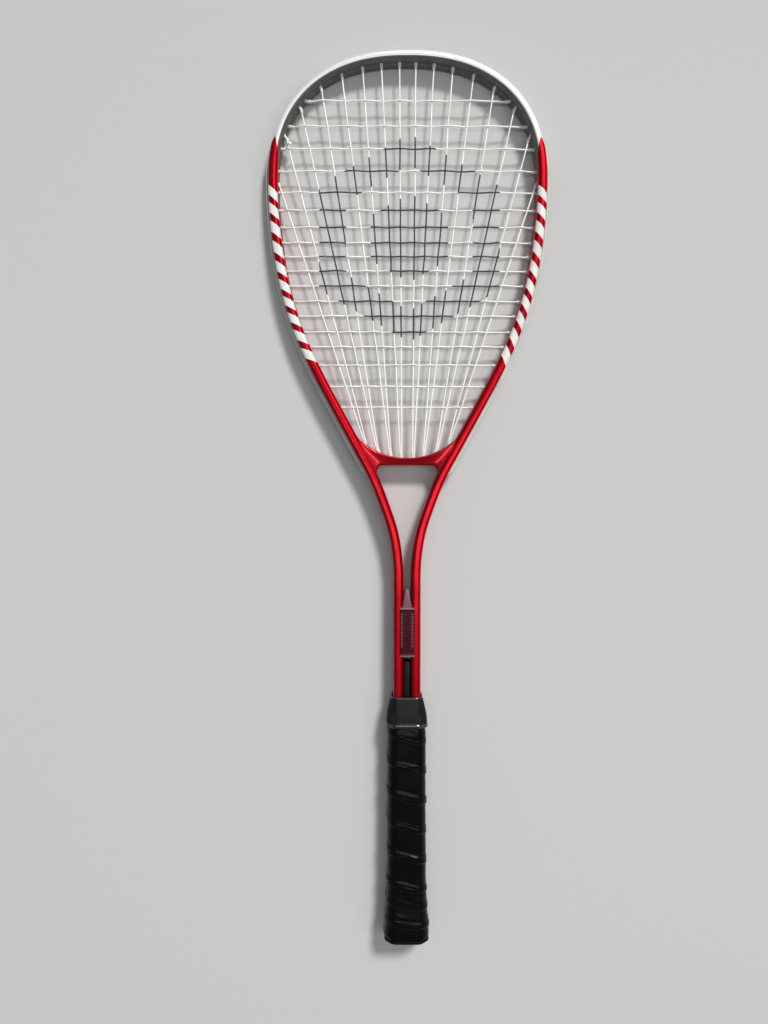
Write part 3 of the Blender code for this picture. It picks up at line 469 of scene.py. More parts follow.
def lacquer_material():
    """Metallic lacquer on the tube: silver crown with a red tongue on each
    face, slanted white bands on the sides, red below."""
    mat = Mat("racket_lacquer")
    along = mat.attr("path_s")
    crest = mat.attr("crest")      # distance round the section from the tongue's axis
    out = mat.attr("across")
    away = abs(along)
    # the tongue widens down the tube, with a fine white line round its edge
    spread_power, spread = 1.12, 2.1
    tongue = away - TIP_ALONG - crest ** spread_power * spread
    red_zone = tongue.remap(span=(-0.12, 0.12))
    line = tongue.remap(span=(-1.7, -1.5)) * tongue.remap(span=(-0.5, -0.3), to=(1.0, 0.0))
    line_strength = 1.0
    # slanted bands, slightly uneven in pitch
    slope, wobble_rate, wobble_size = 0.95, 0.071, 1.3
    slant = out * (mat.math("SIGN", along) * slope)
    place = away - slant - BAND_START
    wobble = mat.math("SINE", place * wobble_rate) * wobble_size
    phase = mat.math("FRACT", (place + wobble) / BAND_PITCH)
    band = phase.remap(span=(0.0, 0.018)) * phase.remap(span=(0.580, 0.598), to=(1.0, 0.0))
    inside = (place > 0.0) * (place < BAND_LENGTH)
    face = crest.remap(span=(5.6, 5.9), to=(1.0, 0.0))
    bands = band * inside * face
    # colour variation of the lacquer
    cloud = mat.noise(scale=55.0, detail=5.0)
    flakes = mat.noise(scale=5200.0, detail=1.0)
    red = metallic_red(mat, cloud, flakes)
    silver = mat.mix(flakes.remap(span=(0.35, 0.7)),
                     under=(0.70, 0.72, 0.72), over=(0.92, 0.94, 0.94))
    cloud_share = 0.22
    silver = mat.mix(cloud.remap(span=(0.55, 0.8)) * cloud_share, silver, over=(0.46, 0.47, 0.45))
    # painted shade: the inner wall's silver is darkened to a dark olive grey, partly a greyer
    # finish of its own and partly shade painted in
    inner = out.remap(span=(-1.5, -2.0))
    shaded_wall_colour = mat.mix(mat.noise(scale=140.0, detail=4.0).remap(span=(0.3, 0.7)),
                   under=(0.034, 0.032, 0.026), over=(0.070, 0.066, 0.054))
    wall_shade_share = 0.9
    silver = mat.mix(inner * wall_shade_share, silver, shaded_wall_colour)
    colour = mat.mix(red_zone, silver, red)
    white = mat.mix(cloud.remap(span=(0.45, 0.8)),
                    under=(0.76, 0.76, 0.73), over=(0.62, 0.61, 0.58))
    marks = mat.math("MAXIMUM", bands, line * line_strength * (1.0 - inner))
    colour = mat.mix(marks, colour, white)
    # scuffs on the crown's outer edge and small chips down the sides
    scuff_noise = mat.noise(scale=900.0, detail=6.0, rough=0.7,
                            vector=mat.mapping(scale=(1, 1, 0.35)))
    outer = out.remap(span=(1.8, 3.6))
    scuff = scuff_noise.remap(span=(0.58, 0.64)) * outer
    scuff = scuff * away.remap(span=(60.0, 190.0), to=(1.0, 0.12))
    chips = (mat.voronoi(scale=330.0).remap(span=(0.10, 0.06))
             * mat.noise(scale=70.0, detail=2.0).remap(span=(0.60, 0.66)))
    scuff_share, chip_share = 0.75, 0.6
    wear = mat.math("MAXIMUM", scuff * scuff_share, chips * chip_share, clamp=True)
    colour = mat.mix(wear, colour, over=(0.30, 0.30, 0.29))
    # fine lengthwise scratches, from noise stretched along the tube
    along_rate, round_rate = 0.012, 1.7
    stretched = mat.node("ShaderNodeCombineXYZ", {
        0: along * along_rate, 1: out * round_rate, 2: crest * round_rate})
    scratch = mat.noise(scale=3.2, detail=7.0, rough=0.75, vector=stretched)
    wear_rough = 0.3
    rough = scratch.remap(span=(0.35, 0.75), to=(0.26, 0.42))
    rough = rough + wear * wear_rough
    rough = rough + inner * red_zone.remap(to=(0.18, 0.0))
    metallic = red_zone.remap(to=(0.50, 0.90)) * (1.0 - bands)
    # relief: scratches and wear, then the paint edges, then a faint ripple
    scratch_height, wear_height, paint_height = 0.5, -1.2, 1.0
    bump = mat.bump(scratch * scratch_height + wear * wear_height,
                    strength=0.22, distance=0.00012)
    bump = mat.bump(bands + red_zone * paint_height, strength=0.25, distance=0.00005, normal=bump)
    bump = mat.bump(mat.noise(scale=380.0, detail=3.0), strength=0.05, distance=0.0003,
                    normal=bump)
    inner_coat_loss = 0.75
    return mat.surface(
        Base_Color=colour, Roughness=rough, Metallic=metallic,
        Coat_Weight=red_zone.remap(to=(0.26, 0.07)) * (1.0 - inner * inner_coat_loss),
        Coat_Roughness=scratch.remap(span=(0.4, 0.8), to=(0.07, 0.24)), Normal=bump)


def bridge_material():
    """Bridge moulding, lacquered with the tube."""
    mat = Mat("bridge_red_moulding")
    cloud = mat.noise(scale=55.0, detail=5.0)
    flakes = mat.noise(scale=5200.0, detail=1.0)
    fine = mat.noise(scale=1500.0, detail=3.0)
    scratch = mat.noise(scale=260.0, detail=7.0, rough=0.75,
                        vector=mat.mapping(scale=(1.0, 5.0, 1.0), rotation=(0, 0, 0.3)))
    scratch_height, fine_height = 0.6, 0.2
    return mat.surface(
        Base_Color=metallic_red(mat, cloud, flakes),
        Roughness=scratch.remap(span=(0.4, 0.75), to=(0.26, 0.40)),
        Coat_Weight=0.25, Coat_Roughness=0.09, Metallic=0.80,
        Normal=mat.bump(scratch * scratch_height + fine * fine_height,
                        strength=0.10, distance=0.00012))


def plastic(name, light, dark, rough, grain, bump, coat=0.0, subsurface=0.0, specks=None,
            specular=0.5):
    """Clouded plastic: grain is the scale of its relief, specks the tint of
    its dust."""
    mat = Mat(name)
    cloud = mat.noise(scale=60.0, detail=5.0)
    fine = mat.noise(scale=grain, detail=3.0)
    colour = mat.mix(cloud.remap(span=(0.3, 0.7)), dark, light)
    if specks is not None:
        colour = mat.dust(colour, specks, amount=0.5, specks=(2600.0, 0.66, 0.72),
                          patches=(45.0, 2.0, 0.42, 0.62))
    depth = {}
    if subsurface:
        depth = {"Subsurface_Weight": subsurface, "Subsurface_Scale": 0.002}
    return mat.surface(
        Base_Color=colour, Roughness=fine.remap(span=(0.3, 0.7), to=rough),
        Normal=mat.bump(fine, strength=bump, distance=0.00015), Coat_Weight=coat,
        Coat_Roughness=0.12, Specular_IOR_Level=specular, **depth)


def string_material(name):
    """Coated multifilament nylon with a black stencil on its front: a
    hexagonal ring round a solid hexagon."""
    mat = Mat(name)
    x, y, _ = mat.split(mat.coords())
    x, y = x * 1000.0, y * 1000.0      # to millimetres
    from_x, from_y = abs(x - STENCIL_X), abs(y - STENCIL_Y)
    slanted = from_x * 0.5 + from_y * 0.8660254    # cosine and sine of 60 degrees
    ragged = (mat.noise(scale=420.0, detail=3.0) - 0.5) * 1.6    # up to 0.8 mm either way
    radius = mat.math("MAXIMUM", from_x, slanted) + ragged
    ring = (radius > STENCIL_RING_IN) * (radius < STENCIL_RING_OUT)
    ink = mat.math("MAXIMUM", ring, radius < STENCIL_CORE)
    facing = mat.split(mat.node("ShaderNodeNewGeometry", output="Normal"))[2]
    ink = ink * facing.remap(span=(-0.55, -0.2))
    patch = mat.noise(scale=1300.0, detail=3.0).remap(span=(0.28, 0.40))
    ink = ink * patch.remap(to=(0.60, 0.98))
    # filament twist under the coating
    length_rate, round_rate = 2.4, 3.0
    strand = mat.math("SINE", mat.attr("run_t") * length_rate + mat.attr("round_a") * round_rate)
    base = mat.mix(mat.noise(scale=38.0, detail=4.0).remap(span=(0.35, 0.7)),
                   under=(0.85, 0.84, 0.78), over=(0.93, 0.92, 0.88))
    strand_share, dirt_share = 0.14, 0.25
    base = mat.mix(strand.remap(span=(0.2, 1.0)) * strand_share, base, over=(0.60, 0.58, 0.50))
    dirt = mat.noise(scale=240.0, detail=5.0).remap(span=(0.58, 0.78)) * dirt_share
    base = mat.mix(dirt, base, over=(0.52, 0.50, 0.44))
    return mat.surface(
        Base_Color=mat.mix(ink, base, over=(0.008, 0.008, 0.009)),
        Roughness=ink.remap(to=(0.34, 0.55)), Coat_Weight=0.2, Coat_Roughness=0.2,
        Normal=mat.bump(strand, strength=0.25, distance=0.00006),
        Subsurface_Weight=0.10, Subsurface_Scale=0.0008)


def rubber_material():
    """Dusty matt rubber, glossier on the collar's lips."""
    mat = Mat("collar_rubber")
    fine = mat.noise(scale=2600.0, detail=3.0)
    cloud = mat.noise(scale=90.0, detail=5.0)
    colour = mat.mix(cloud.remap(span=(0.3, 0.75)),
                     under=(0.0050, 0.0056, 0.0055), over=(0.0092, 0.0102, 0.0099))
    colour = mat.dust(colour, tint=(0.10, 0.10, 0.095), amount=0.16,
                      specks=(3400.0, 0.64, 0.70), patches=(60.0, 3.0, 0.45, 0.65))
    lip = mat.attr("lip").remap(span=(0.2, 0.9))
    lip_polish, lip_coat = 0.28, 0.6
    return mat.surface(
        Base_Color=colour,
        Roughness=cloud.remap(span=(0.3, 0.7), to=(0.44, 0.56)) - lip * lip_polish,
        Normal=mat.bump(fine, strength=0.20, distance=0.00012),
        Specular_IOR_Level=lip.remap(to=(0.14, 0.60)),
        Coat_Weight=lip * lip_coat, Coat_Roughness=0.12)


def grip_material():
    """Tacky polyurethane tape: fine pebble, grime in the overlaps and a
    little dust."""
    mat = Mat("grip_polyurethane_tape")
    pebble = mat.voronoi(scale=1500.0, feature="SMOOTH_F1")
    fine = mat.noise(scale=3000.0, detail=3.0)
    cloud = mat.noise(scale=70.0, detail=5.0)
    crease = mat.attr("crease")
    grime_share, grime_rough = 0.35, 0.15
    pebble_height, fine_height = 0.7, 0.3
    colour = mat.mix(cloud.remap(span=(0.3, 0.75)),
                     under=(0.0007, 0.0009, 0.0009), over=(0.0016, 0.0021, 0.0020))
    colour = mat.mix(crease * grime_share, colour, over=(0.0055, 0.0054, 0.0048))
    colour = mat.dust(colour, tint=(0.05, 0.05, 0.047), amount=0.12,
                      specks=(3800.0, 0.68, 0.74), patches=(50.0, 3.0, 0.5, 0.7))
    rough = cloud.remap(span=(0.25, 0.75), to=(0.24, 0.36)) + crease * grime_rough
    return mat.surface(
        Base_Color=colour, Roughness=rough,
        Normal=mat.bump(pebble * pebble_height + fine * fine_height,
                        strength=0.14, distance=0.00016),
        Specular_IOR_Level=0.12, Coat_Weight=0.02, Coat_Roughness=0.25)


def smoke_material():
    """Smoky, plum-tinted translucent moulding with frosted, paler ends; on the end rims the paler
    colour is also painted highlight.
    """
    mat = Mat("clip_smoke")
    swirl = mat.noise(scale=120.0, detail=4.0, distortion=1.2)
    frost = mat.attr("frost")
    frost_rough = 0.2
    colour = mat.mix(swirl.remap(span=(0.3, 0.7)),
                     under=(0.036, 0.0012, 0.004), over=(0.066, 0.0035, 0.009))
    grain = mat.noise(scale=700.0, detail=3.0).remap(span=(0.3, 0.7), to=(0.14, 0.26))
    return mat.surface(
        # painted highlight: the paler frosted colour on the end rims stands partly for bright
        # highlight lines along them
        Base_Color=mat.mix(frost, colour, over=(0.36, 0.24, 0.26)),
        Roughness=grain + frost * frost_rough,
        Transmission_Weight=frost.remap(to=(0.14, 0.34)), IOR=1.42,
        Normal=mat.bump(mat.noise(scale=420.0, detail=4.0), strength=0.10, distance=0.0002),
        Specular_IOR_Level=0.2)


def metal_material():
    mat = Mat("zinc_plated_steel")
    brushed = mat.noise(scale=1200.0, detail=5.0, vector=mat.mapping(scale=(1, 1, 0.04)))
    patch = mat.noise(scale=300.0, detail=3.0)
    return mat.surface(
        Base_Color=mat.mix(patch.remap(span=(0.3, 0.7)),
                           under=(0.50, 0.50, 0.48), over=(0.68, 0.68, 0.67)),
        Metallic=1.0, Roughness=brushed.remap(span=(0.3, 0.7), to=(0.22, 0.45)),
        Normal=mat.bump(brushed, strength=0.15, distance=0.0001))


def floor_material():
    mat = Mat("floor_paper")
    grain = mat.noise(scale=700.0, detail=4.0)
    return mat.surface(
        Base_Color=mat.mix(grain, under=(0.505, 0.505, 0.50), over=(0.555, 0.555, 0.55)),
        Roughness=0.9, Specular_IOR_Level=0.2,
        Normal=mat.bump(grain, strength=0.06, distance=0.0003))


LACQUER = lacquer_material()
BRIDGE_RED = bridge_material()
STRIP_NYLON = plastic(
    "grommet_nylon", light=(0.60, 0.63, 0.58), dark=(0.47, 0.50, 0.46), rough=(0.32, 0.5),
    grain=1400.0, bump=0.12, subsurface=0.12, specks=(0.25, 0.24, 0.21))
BARREL_NYLON = plastic(
    "grommet_barrel_nylon", light=(0.72, 0.72, 0.66), dark=(0.58, 0.58, 0.52),
    rough=(0.30, 0.46), grain=1400.0, bump=0.12, subsurface=0.18, specks=(0.4, 0.38, 0.33))
MAIN_NYLON = string_material("main_string_nylon")
CROSS_NYLON = string_material("cross_string_nylon")
RUBBER = rubber_material()
GRIP = grip_material()
SMOKE = smoke_material()
BLACK = plastic(
    "black_moulding", light=(0.0030, 0.0031, 0.0032), dark=(0.0014, 0.0014, 0.0015),
    rough=(0.42, 0.56), grain=1800.0, bump=0.2, specks=(0.03, 0.03, 0.028), specular=0.12)
CORE = plastic(
    "core_foam", light=(0.34, 0.32, 0.27), dark=(0.26, 0.24, 0.20), rough=(0.6, 0.8),
    grain=2200.0, bump=0.5)
TAPE = plastic(
    "finishing_vinyl", light=(0.022, 0.022, 0.025), dark=(0.014, 0.014, 0.016),
    rough=(0.22, 0.36), grain=600.0, bump=0.1, coat=0.2, specular=0.4)
METAL = metal_material()

# ------------------------------------------------------------- hoop and shafts
# front half of the tube's section (out, z), from the inner wall over the
# crest to the groove in the outer wall
TUBE_FRONT = [
    (-2.85, 0.0), (-3.15, 1.3), (-3.75, 3.0), (-3.84, 4.9), (-3.70, 6.5), (-3.0, 8.1),
    (-1.5, 9.02), (0.2, 9.12), (1.8, 8.98), (3.2, 8.0), (3.78, 6.4), (3.84, 4.6),
    (3.84, 2.95), (3.55, 2.45), (3.0, 2.42), (1.05, 2.40), (0.98, 2.2),
]
TUBE_SECTION = chaikin(TUBE_FRONT + [(out, -z) for out, z in reversed(TUBE_FRONT[1:])])
TONGUE_AXIS_OUT, TONGUE_AXIS_Z = 1.35, 9.0     # a little outside the crest


def crest_distances():
    """Distance round the section from the nearer tongue axis."""
    around = run_lengths(np.vstack([TUBE_SECTION, TUBE_SECTION[:1]]))
    crest = np.full(len(TUBE_SECTION), 1e9)
    for sign in (1, -1):
        axis = int(np.argmin(np.hypot(TUBE_SECTION[:, 0] - TONGUE_AXIS_OUT,
                                      TUBE_SECTION[:, 1] - sign * TONGUE_AXIS_Z)))
        gap = np.abs(around[:-1] - around[axis])
        crest = np.minimum(crest, np.minimum(gap, around[-1] - gap))
    return crest


def build_hoop():
    marks = np.concatenate([np.arange(0.0, 190.0, 1.5), np.arange(190.0, TOTAL, 2.2), [TOTAL]])
    marks = np.concatenate([-marks[:0:-1], marks])
    shapes = Shapes()
    shapes.add(sweep_rings(marks, TUBE_SECTION), path_s=marks[:, None],
               crest=crest_distances(), across=TUBE_SECTION[:, 0])
    shapes.finish("frame_lacquered", [LACQUER], "frame", sharp=50)


build_hoop()

# ------------------------------------------- how each string passes its guide
CROWN_SPLIT = along_at_y(STRIP_SPLIT_Y)
# path runs from outside the tube to the barrel's tip; wide is the half gap
# between the strings that share it
Guide = namedtuple("Guide", "along side path wide")


def through_tube(along, inner_out, bend, tip):
    """Path in from the channel that bends in the wall towards the tip."""
    straight = [point_at(along, out) for out in (LOOP_OUT - 0.35, STRIP_OUT - 0.2, 0.6)]
    share = np.linspace(0, 1, 9)[:, None]
    return straight + list(bezier(share, point_at(along, inner_out), bend, tip))


def make_guide(along, side, path, z, wide):
    path = np.array(path) * (side, 1)
    return Guide(along, side, np.c_[path, np.full(len(path), z)], wide)


def wall_guide(side, point, way, z, reach, shown=None):
    """Guide of a single string through the tube.

    point lies on the string inside the bed, way points at the tube, and the
    barrel stands reach out of the wall, or as far as shown."""
    flip = (side, 1)
    start, way = np.array(point) * flip, unit(np.array(way) * flip)
    travel, step = 0.0, 4.0
    while step > 0.01:
        if locate(*(start + way * (travel + step)))[1] < WALL_OUT:
            travel += step
        else:
            step /= 2
    wall = start + way * travel
    along, _ = locate(*wall)
    length = reach / max(0.62, float(way @ station(along)[1]))
    if shown is not None:
        length = min(8.5, max(length, float(np.linalg.norm(wall - np.array(shown) * flip))))
    path = through_tube(along, WALL_OUT + 1.9, wall - way * 0.3, wall - way * length)
    return make_guide(along, side, path, z, 0.0)


def pair_guide(pair, side):
    """Guide shared by the two strings of a pair at the throat."""
    tip = np.array(PAIR_TIPS[pair])
    if pair < len(PAIR_EXITS):
        hole = np.array(PAIR_EXITS[pair])
        along = None
        path = [hole + unit(hole - tip) * 0.6, hole, hole * 0.5 + tip * 0.5, tip]
    else:
        along = along_at_y(372.0)
        path = through_tube(along, -1.0, tip + np.array((-2.2, -5.6)), tip)
    return make_guide(along, side, path, MAIN_Z, PAIR_HALF_GAP)


def shifted(guide, amount):
    """The guide's path moved sideways, away from the racket's axis."""
    tangent = np.gradient(guide.path, axis=0)
    normal = np.c_[tangent[:, 1], -tangent[:, 0]]
    normal /= np.linalg.norm(normal, axis=1)[:, None]
    if normal[-1, 0] * guide.side < 0:
        normal = -normal
    path = guide.path.copy()
    path[:, :2] += normal * amount
    return path


# mains from left to right: rank from the middle, side
MAINS = [(rank, -1) for rank in range(7, -1, -1)] + [(rank, 1) for rank in range(8)]
pair_guides = {(pair, side): pair_guide(pair, side) for pair in range(4) for side in (-1, 1)}
main_ends = []      # guide at the top, path at the throat
for rank, side in MAINS:
    low = shifted(pair_guides[(rank // 2, side)], PAIR_HALF_GAP if rank % 2 else -PAIR_HALF_GAP)
    top_point = np.array(MAIN_TOP[rank]) * (side, 1)
    way = unit(top_point - low[-1, :2])
    top = wall_guide(side, top_point - way * 12.0, way, MAIN_Z,
                     reach=4.3 if rank < 5 else 3.6,
                     shown=top_point - way * 1.6 if rank in (4, 5, 6) else None)
    main_ends.append((top, low))
cross_ends = [
    tuple(wall_guide(side, (side * 20.0, y), (side, 0.0), CROSS_Z, reach=4.0 if i < 3 else 3.5)
          for side in (-1, 1))
    for i, y in enumerate(CROSS_Y)]

crown_guides, side_guides = [], {-1: [], 1: []}
for guide in [top for top, _ in main_ends] + [guide for ends in cross_ends for guide in ends]:
    (crown_guides if guide.along < CROWN_SPLIT else side_guides[guide.side]).append(guide)
for side in (-1, 1):
    side_guides[side].append(pair_guides[(3, side)])
throat_guides = [pair_guides[(pair, side)] for side in (-1, 1) for pair in range(3)]


# ------------------------------------------------------------- grommet strips
def barrel_rings(guide, seed, sides=18):
    """Moulded barrel swept along its guide, with a hollow at the tip."""
    path = guide.path[1:]
    distances = run_lengths(path)
    total = distances[-1]
    size = 1.0 + np.random.default_rng(seed).uniform(-0.04, 0.05)
    size *= 0.84 if guide.wide else 1.0
    # distance back from the tip, radius
    profile = [(total, 1.34), (3.2, 1.30), (1.6, 1.20), (0.7, 1.18), (0.22, 1.16),
               (0.05, 1.08), (0.0, 0.98), (0.04, 0.84), (0.25, 0.76), (2.4, 0.72)]
    widen = guide.wide * 0.92
    angle = np.arange(sides) * 2 * math.pi / sides
    up = np.array((0, 0, 1.0))
    rings = []
    for back, radius in profile:
        radius *= size
        place = max(total - back, 0.0)
        centre = at_distance(place, distances, path)
        tangent = unit(at_distance(min(place + 0.3, total), distances, path)
                       - at_distance(max(place - 0.3, 0.0), distances, path))
        flat = np.array((tangent[1], -tangent[0], 0.0))
        rings.append(centre + np.cos(angle)[:, None] * flat * (radius + widen)
                     + np.sin(angle)[:, None] * up * radius)
    return rings


def rail_section(rail_out):
    """Section (out, z) of a strip with a rail along each edge."""
    low, top = CHANNEL_OUT + 0.25, STRIP_OUT
    wide, inside = CHANNEL_HALF - 0.3, CHANNEL_HALF - 0.95
    half = [(top, inside - 0.25), (top + 0.25, inside), (rail_out - 0.25, inside + 0.02),
            (rail_out, inside + 0.2), (rail_out, wide - 0.2), (rail_out - 0.2, wide)]
    if rail_out > 5.0:
        # tall rails are waisted below a thicker edge
        half += [(rail_out - 1.15, wide), (rail_out - 1.3, wide - 0.12),
                 (rail_out - 1.4, wide - 0.55), (TUBE_WIDTH / 2 + 0.15, wide - 0.6),
                 (TUBE_WIDTH / 2 - 0.1, wide - 0.1)]
    half += [(low + 0.1, wide), (low, wide - 0.1)]
    return np.array(half + [(out, -z) for out, z in reversed(half)])


def finish_strip(name, rings, guides, seed, replaces):
    """Add the barrels, in a paler finish, and make the strip."""
    shapes = Shapes()
    shapes.add(rings)
    split = len(shapes.faces)
    for i, guide in enumerate(guides):
        shapes.add(barrel_rings(guide, seed * 100 + i))
    shapes.finish(name, [STRIP_NYLON, BARREL_NYLON], replaces,
                  sharp=45, split=split)


def hoop_strip(name, start, end, rail_out, guides, seed, replaces, drop_at=None):
    """Strip in the hoop's channel; its rails drop towards drop_at."""
    section = rail_section(rail_out)
    tall = section[:, 0] > STRIP_OUT
    rings = []
    for along in np.linspace(start, end, max(12, int(abs(end - start) / 2.5))):
        height = 1.0
        if drop_at is not None:
            height = 0.25 + 0.75 * min(1.0, abs(along - drop_at) / 8.0)
        scaled = section.copy()
        scaled[tall, 0] = STRIP_OUT + (scaled[tall, 0] - STRIP_OUT) * height
        rings.append(sweep_rings([along], scaled)[0])
    finish_strip(name, rings, guides, seed, replaces)


def throat_strip():
    base_y = BRIDGE_LOW_Y + BRIDGE_GROOVE
    # front half of the section: depth below the groove's floor, z
    half = np.array([(0.0, 1.3), (0.8, 1.4), (0.95, 1.5), (2.6, 1.52), (2.8, 1.7),
                     (2.8, 1.98), (2.6, 2.15), (0.1, 2.15), (0.0, 2.05)])
    section = np.vstack([half[1:], half[:0:-1] * (1, -1)])
    rings = [np.c_[np.full(len(section), x), base_y - section[:, 0], section[:, 1]]
             for x in np.linspace(-20.4, 20.4, 24)]
    finish_strip("throat_strip_moulded", rings, throat_guides, 4, "throat_grommet_strip")


strip_low = along_at_y(STRIP_END_Y)
hoop_strip("crown_strip_moulded", -CROWN_SPLIT + STRIP_GAP, CROWN_SPLIT - STRIP_GAP,
           RAIL_OUT_CROWN, crown_guides, 1, "crown_grommet_strip")
hoop_strip("right_strip_moulded", CROWN_SPLIT + STRIP_GAP, strip_low,
           RAIL_OUT_SIDE, side_guides[1], 2, "right_grommet_strip", drop_at=strip_low)
hoop_strip("left_strip_moulded", -strip_low, -CROWN_SPLIT - STRIP_GAP,
           RAIL_OUT_SIDE, side_guides[-1], 3, "left_grommet_strip", drop_at=-strip_low)
throat_strip()

# -------------------------------------------------------------------- bridge
# Each half is a patch: "across" runs from 0 at the middle to 1 at the tube,
# "down" from 0 at the upper edge to 1 at the lower one.
ARC_Y = BRIDGE_TOP_Y + BRIDGE_RADIUS
ARC_END, ARC_SHARE = 0.70, 0.72        # the arc's last angle, its share of the edge
WING_TOP, WING_LOW = along_at_y(396.5), along_at_y(355.6)
WING_TOP_OUT, WING_LOW_OUT = -3.1, -2.6
FLAT_END_X = 20.2                      # end of the straight part of the lower edge
BRIDGE_COLUMNS, BRIDGE_ROWS = 141, 25
fillet_way = unit(point_at(WING_TOP - 4.0) - point_at(WING_TOP + 4.0))

TUBE_EDGE = 3.83
TUBE_OUT = np.linspace(-TUBE_EDGE, TUBE_EDGE, 120)


def tube_front_z(out):
    """Height of the tube's front face."""
    best = 0.0
    for (out0, z0), (out1, z1) in zip(TUBE_SECTION, np.roll(TUBE_SECTION, -1, axis=0)):
        if out0 != out1 and min(out0, out1) <= out <= max(out0, out1):
            best = max(best, z0 + (z1 - z0) * (out - out0) / (out1 - out0))
    return best


TUBE_Z = [tube_front_z(out) for out in TUBE_OUT]


def side_curve(down):
    return point_at(WING_TOP + (WING_LOW - WING_TOP) * down,
                    WING_TOP_OUT + (WING_LOW_OUT - WING_TOP_OUT) * down)


def on_arc(angle):
    return np.array((BRIDGE_RADIUS * math.sin(angle), ARC_Y - BRIDGE_RADIUS * math.cos(angle)))


def upper_edge(across):
    """An arc that runs out along the tube in a fillet."""
    if across <= ARC_SHARE:
        return on_arc(ARC_END * across / ARC_SHARE)
    start, end = on_arc(ARC_END), side_curve(0.0)
    arc_way = np.array((math.cos(ARC_END), math.sin(ARC_END)))
    return bezier((across - ARC_SHARE) / (1 - ARC_SHARE),
                  start, start + arc_way * 4.0, end - fillet_way * 4.5, end)


def lower_edge(across):
    if across <= 0.5:
        return np.array((2 * FLAT_END_X * across, BRIDGE_LOW_Y))
    return bezier((across - 0.5) / 0.5, np.array((FLAT_END_X, BRIDGE_LOW_Y)),
                  np.array((22.9, BRIDGE_LOW_Y - 0.3)), side_curve(1.0))


def bridge_plan(across, down):
    """Blend the three curved edges; the middle edge is straight."""
    corners = (1 - down) * upper_edge(1.0) + down * lower_edge(1.0)
    return (across * side_curve(down) + (1 - down) * upper_edge(across)
            + down * lower_edge(across) - across * corners)


def smooth_max(first, second, blend):
    return (first + second + math.sqrt((first - second) ** 2 + blend * blend)) / 2


def bridge_front(signed, down):
    across = abs(signed)
    x, y = bridge_plan(across, down)
    _, out = locate(x, y)
    # the face falls away downwards, hollowed a little, with softened edges
    fall = 3.3 * (1 - 0.80 * across ** 1.5)
    z = 8.35 - fall * down ** 1.15
    z -= 0.25 * math.sin(math.pi * down) * (1 - across)
    z -= 1.5 * max(0.0, 1 - down / 0.17) ** 2 * (1 - across ** 4)
    z -= 1.2 * max(0.0, (down - 0.88) / 0.12) ** 2 * (1 - across ** 4)
    # it blends into the tube's face and feathers out on it
    if out < -TUBE_EDGE:
        tube_z = TUBE_Z[0] + (out + TUBE_EDGE) * 6.0
    else:
        tube_z = float(np.interp(out, TUBE_OUT, TUBE_Z))
    z = smooth_max(z, tube_z + 0.05, 1.5)
    feather = max(0.0, (across - 0.9) / 0.1) ** 2
    z = z * (1 - feather) + min(z, tube_z + 0.12) * feather
    return np.array((x if signed >= 0 else -x, y, z))


def bridge_ring(signed):
    """Ring round the bridge: front, underside, back, top."""
    across = abs(signed)
    front = [bridge_front(signed, j / (BRIDGE_ROWS - 1)) for j in range(BRIDGE_ROWS)]
    up, low = front[0][:2], front[-1][:2]
    up_z, low_z = front[0][2], front[-1][2]
    up_way = unit(up - low)
    # the groove stops before the wings
    grooved = 1.0 if across < 0.485 else 0.0
    wall = CHANNEL_HALF / low_z
    # underside: share of the depth in z, height into the groove
    half = [(0.72, 0.0), (0.55, 0.0), (wall + 0.02, 0.0), (wall, BRIDGE_GROOVE)]
    under = half + [(0.0, 2.75)] + [(-share, height) for share, height in reversed(half)]
    ring = list(front)
    for share, height in under:
        ring.append((*(low + up_way * height * grooved), low_z * share))
    ring += [(x, y, -z) for x, y, z in front[::-1]]
    for share in (-0.8, -0.55, -0.28, 0.0, 0.28, 0.55, 0.8):
        dip = 0.8 * (1 - abs(share)) ** 1.2 * (1 - across ** 3)
        ring.append((*(up - up_way * dip), up_z * share))
    return np.array(ring, float)


def build_bridge():
    rings = []
    for i in range(BRIDGE_COLUMNS):
        signed = -1 + 2 * i / (BRIDGE_COLUMNS - 1)
        # columns are closer together where the wing meets the tube
        rings.append(bridge_ring(math.copysign(1 - (1 - abs(signed)) ** 1.25, signed)))
    shapes = Shapes()
    shapes.add(rings)
    shapes.finish("bridge_moulded", [BRIDGE_RED], "bridge", sharp=48)


build_bridge()


# ------------------------------------------------------------------- strings
def string_rings(points, angle):
    """Round tube along a 3D line, with its ends domed slightly."""
    tangent = np.gradient(points, axis=0)
    tangent /= np.maximum(np.linalg.norm(tangent, axis=1)[:, None], 1e-9)
    side = np.cross(tangent, np.array([0.0, 0.0, 1.0]))
    side[np.linalg.norm(side, axis=1) < 1e-3] = (1.0, 0.0, 0.0)
    side /= np.linalg.norm(side, axis=1)[:, None]
    other = np.cross(side, tangent)
    rings = (points[:, None, :]
             + STRING_RADIUS * (np.cos(angle)[None, :, None] * side[:, None, :]
                                + np.sin(angle)[None, :, None] * other[:, None, :]))
    start = points[0] + (rings[0] - points[0]) * 0.45 - tangent[0] * 0.25
    end = points[-1] + (rings[-1] - points[-1]) * 0.45 + tangent[-1] * 0.25
    return np.concatenate([start[None], rings, end[None]])


def build_string(name, paths, look, replaces, sides=12):
    shapes = Shapes()
    angle = np.arange(sides) * 2 * math.pi / sides
    for points in paths:
        points = np.asarray(points, float)
        points = points[np.r_[True, np.linalg.norm(np.diff(points, axis=0), axis=1) > 0.02]]
        run = run_lengths(points)
        shapes.add(string_rings(points, angle),
                   run_t=np.r_[run[0], run, run[-1]][:, None], round_a=angle)
    shapes.finish(name, [look], replaces)


def loop_point(along, z):
    return np.array((*point_at(along, LOOP_OUT), z))


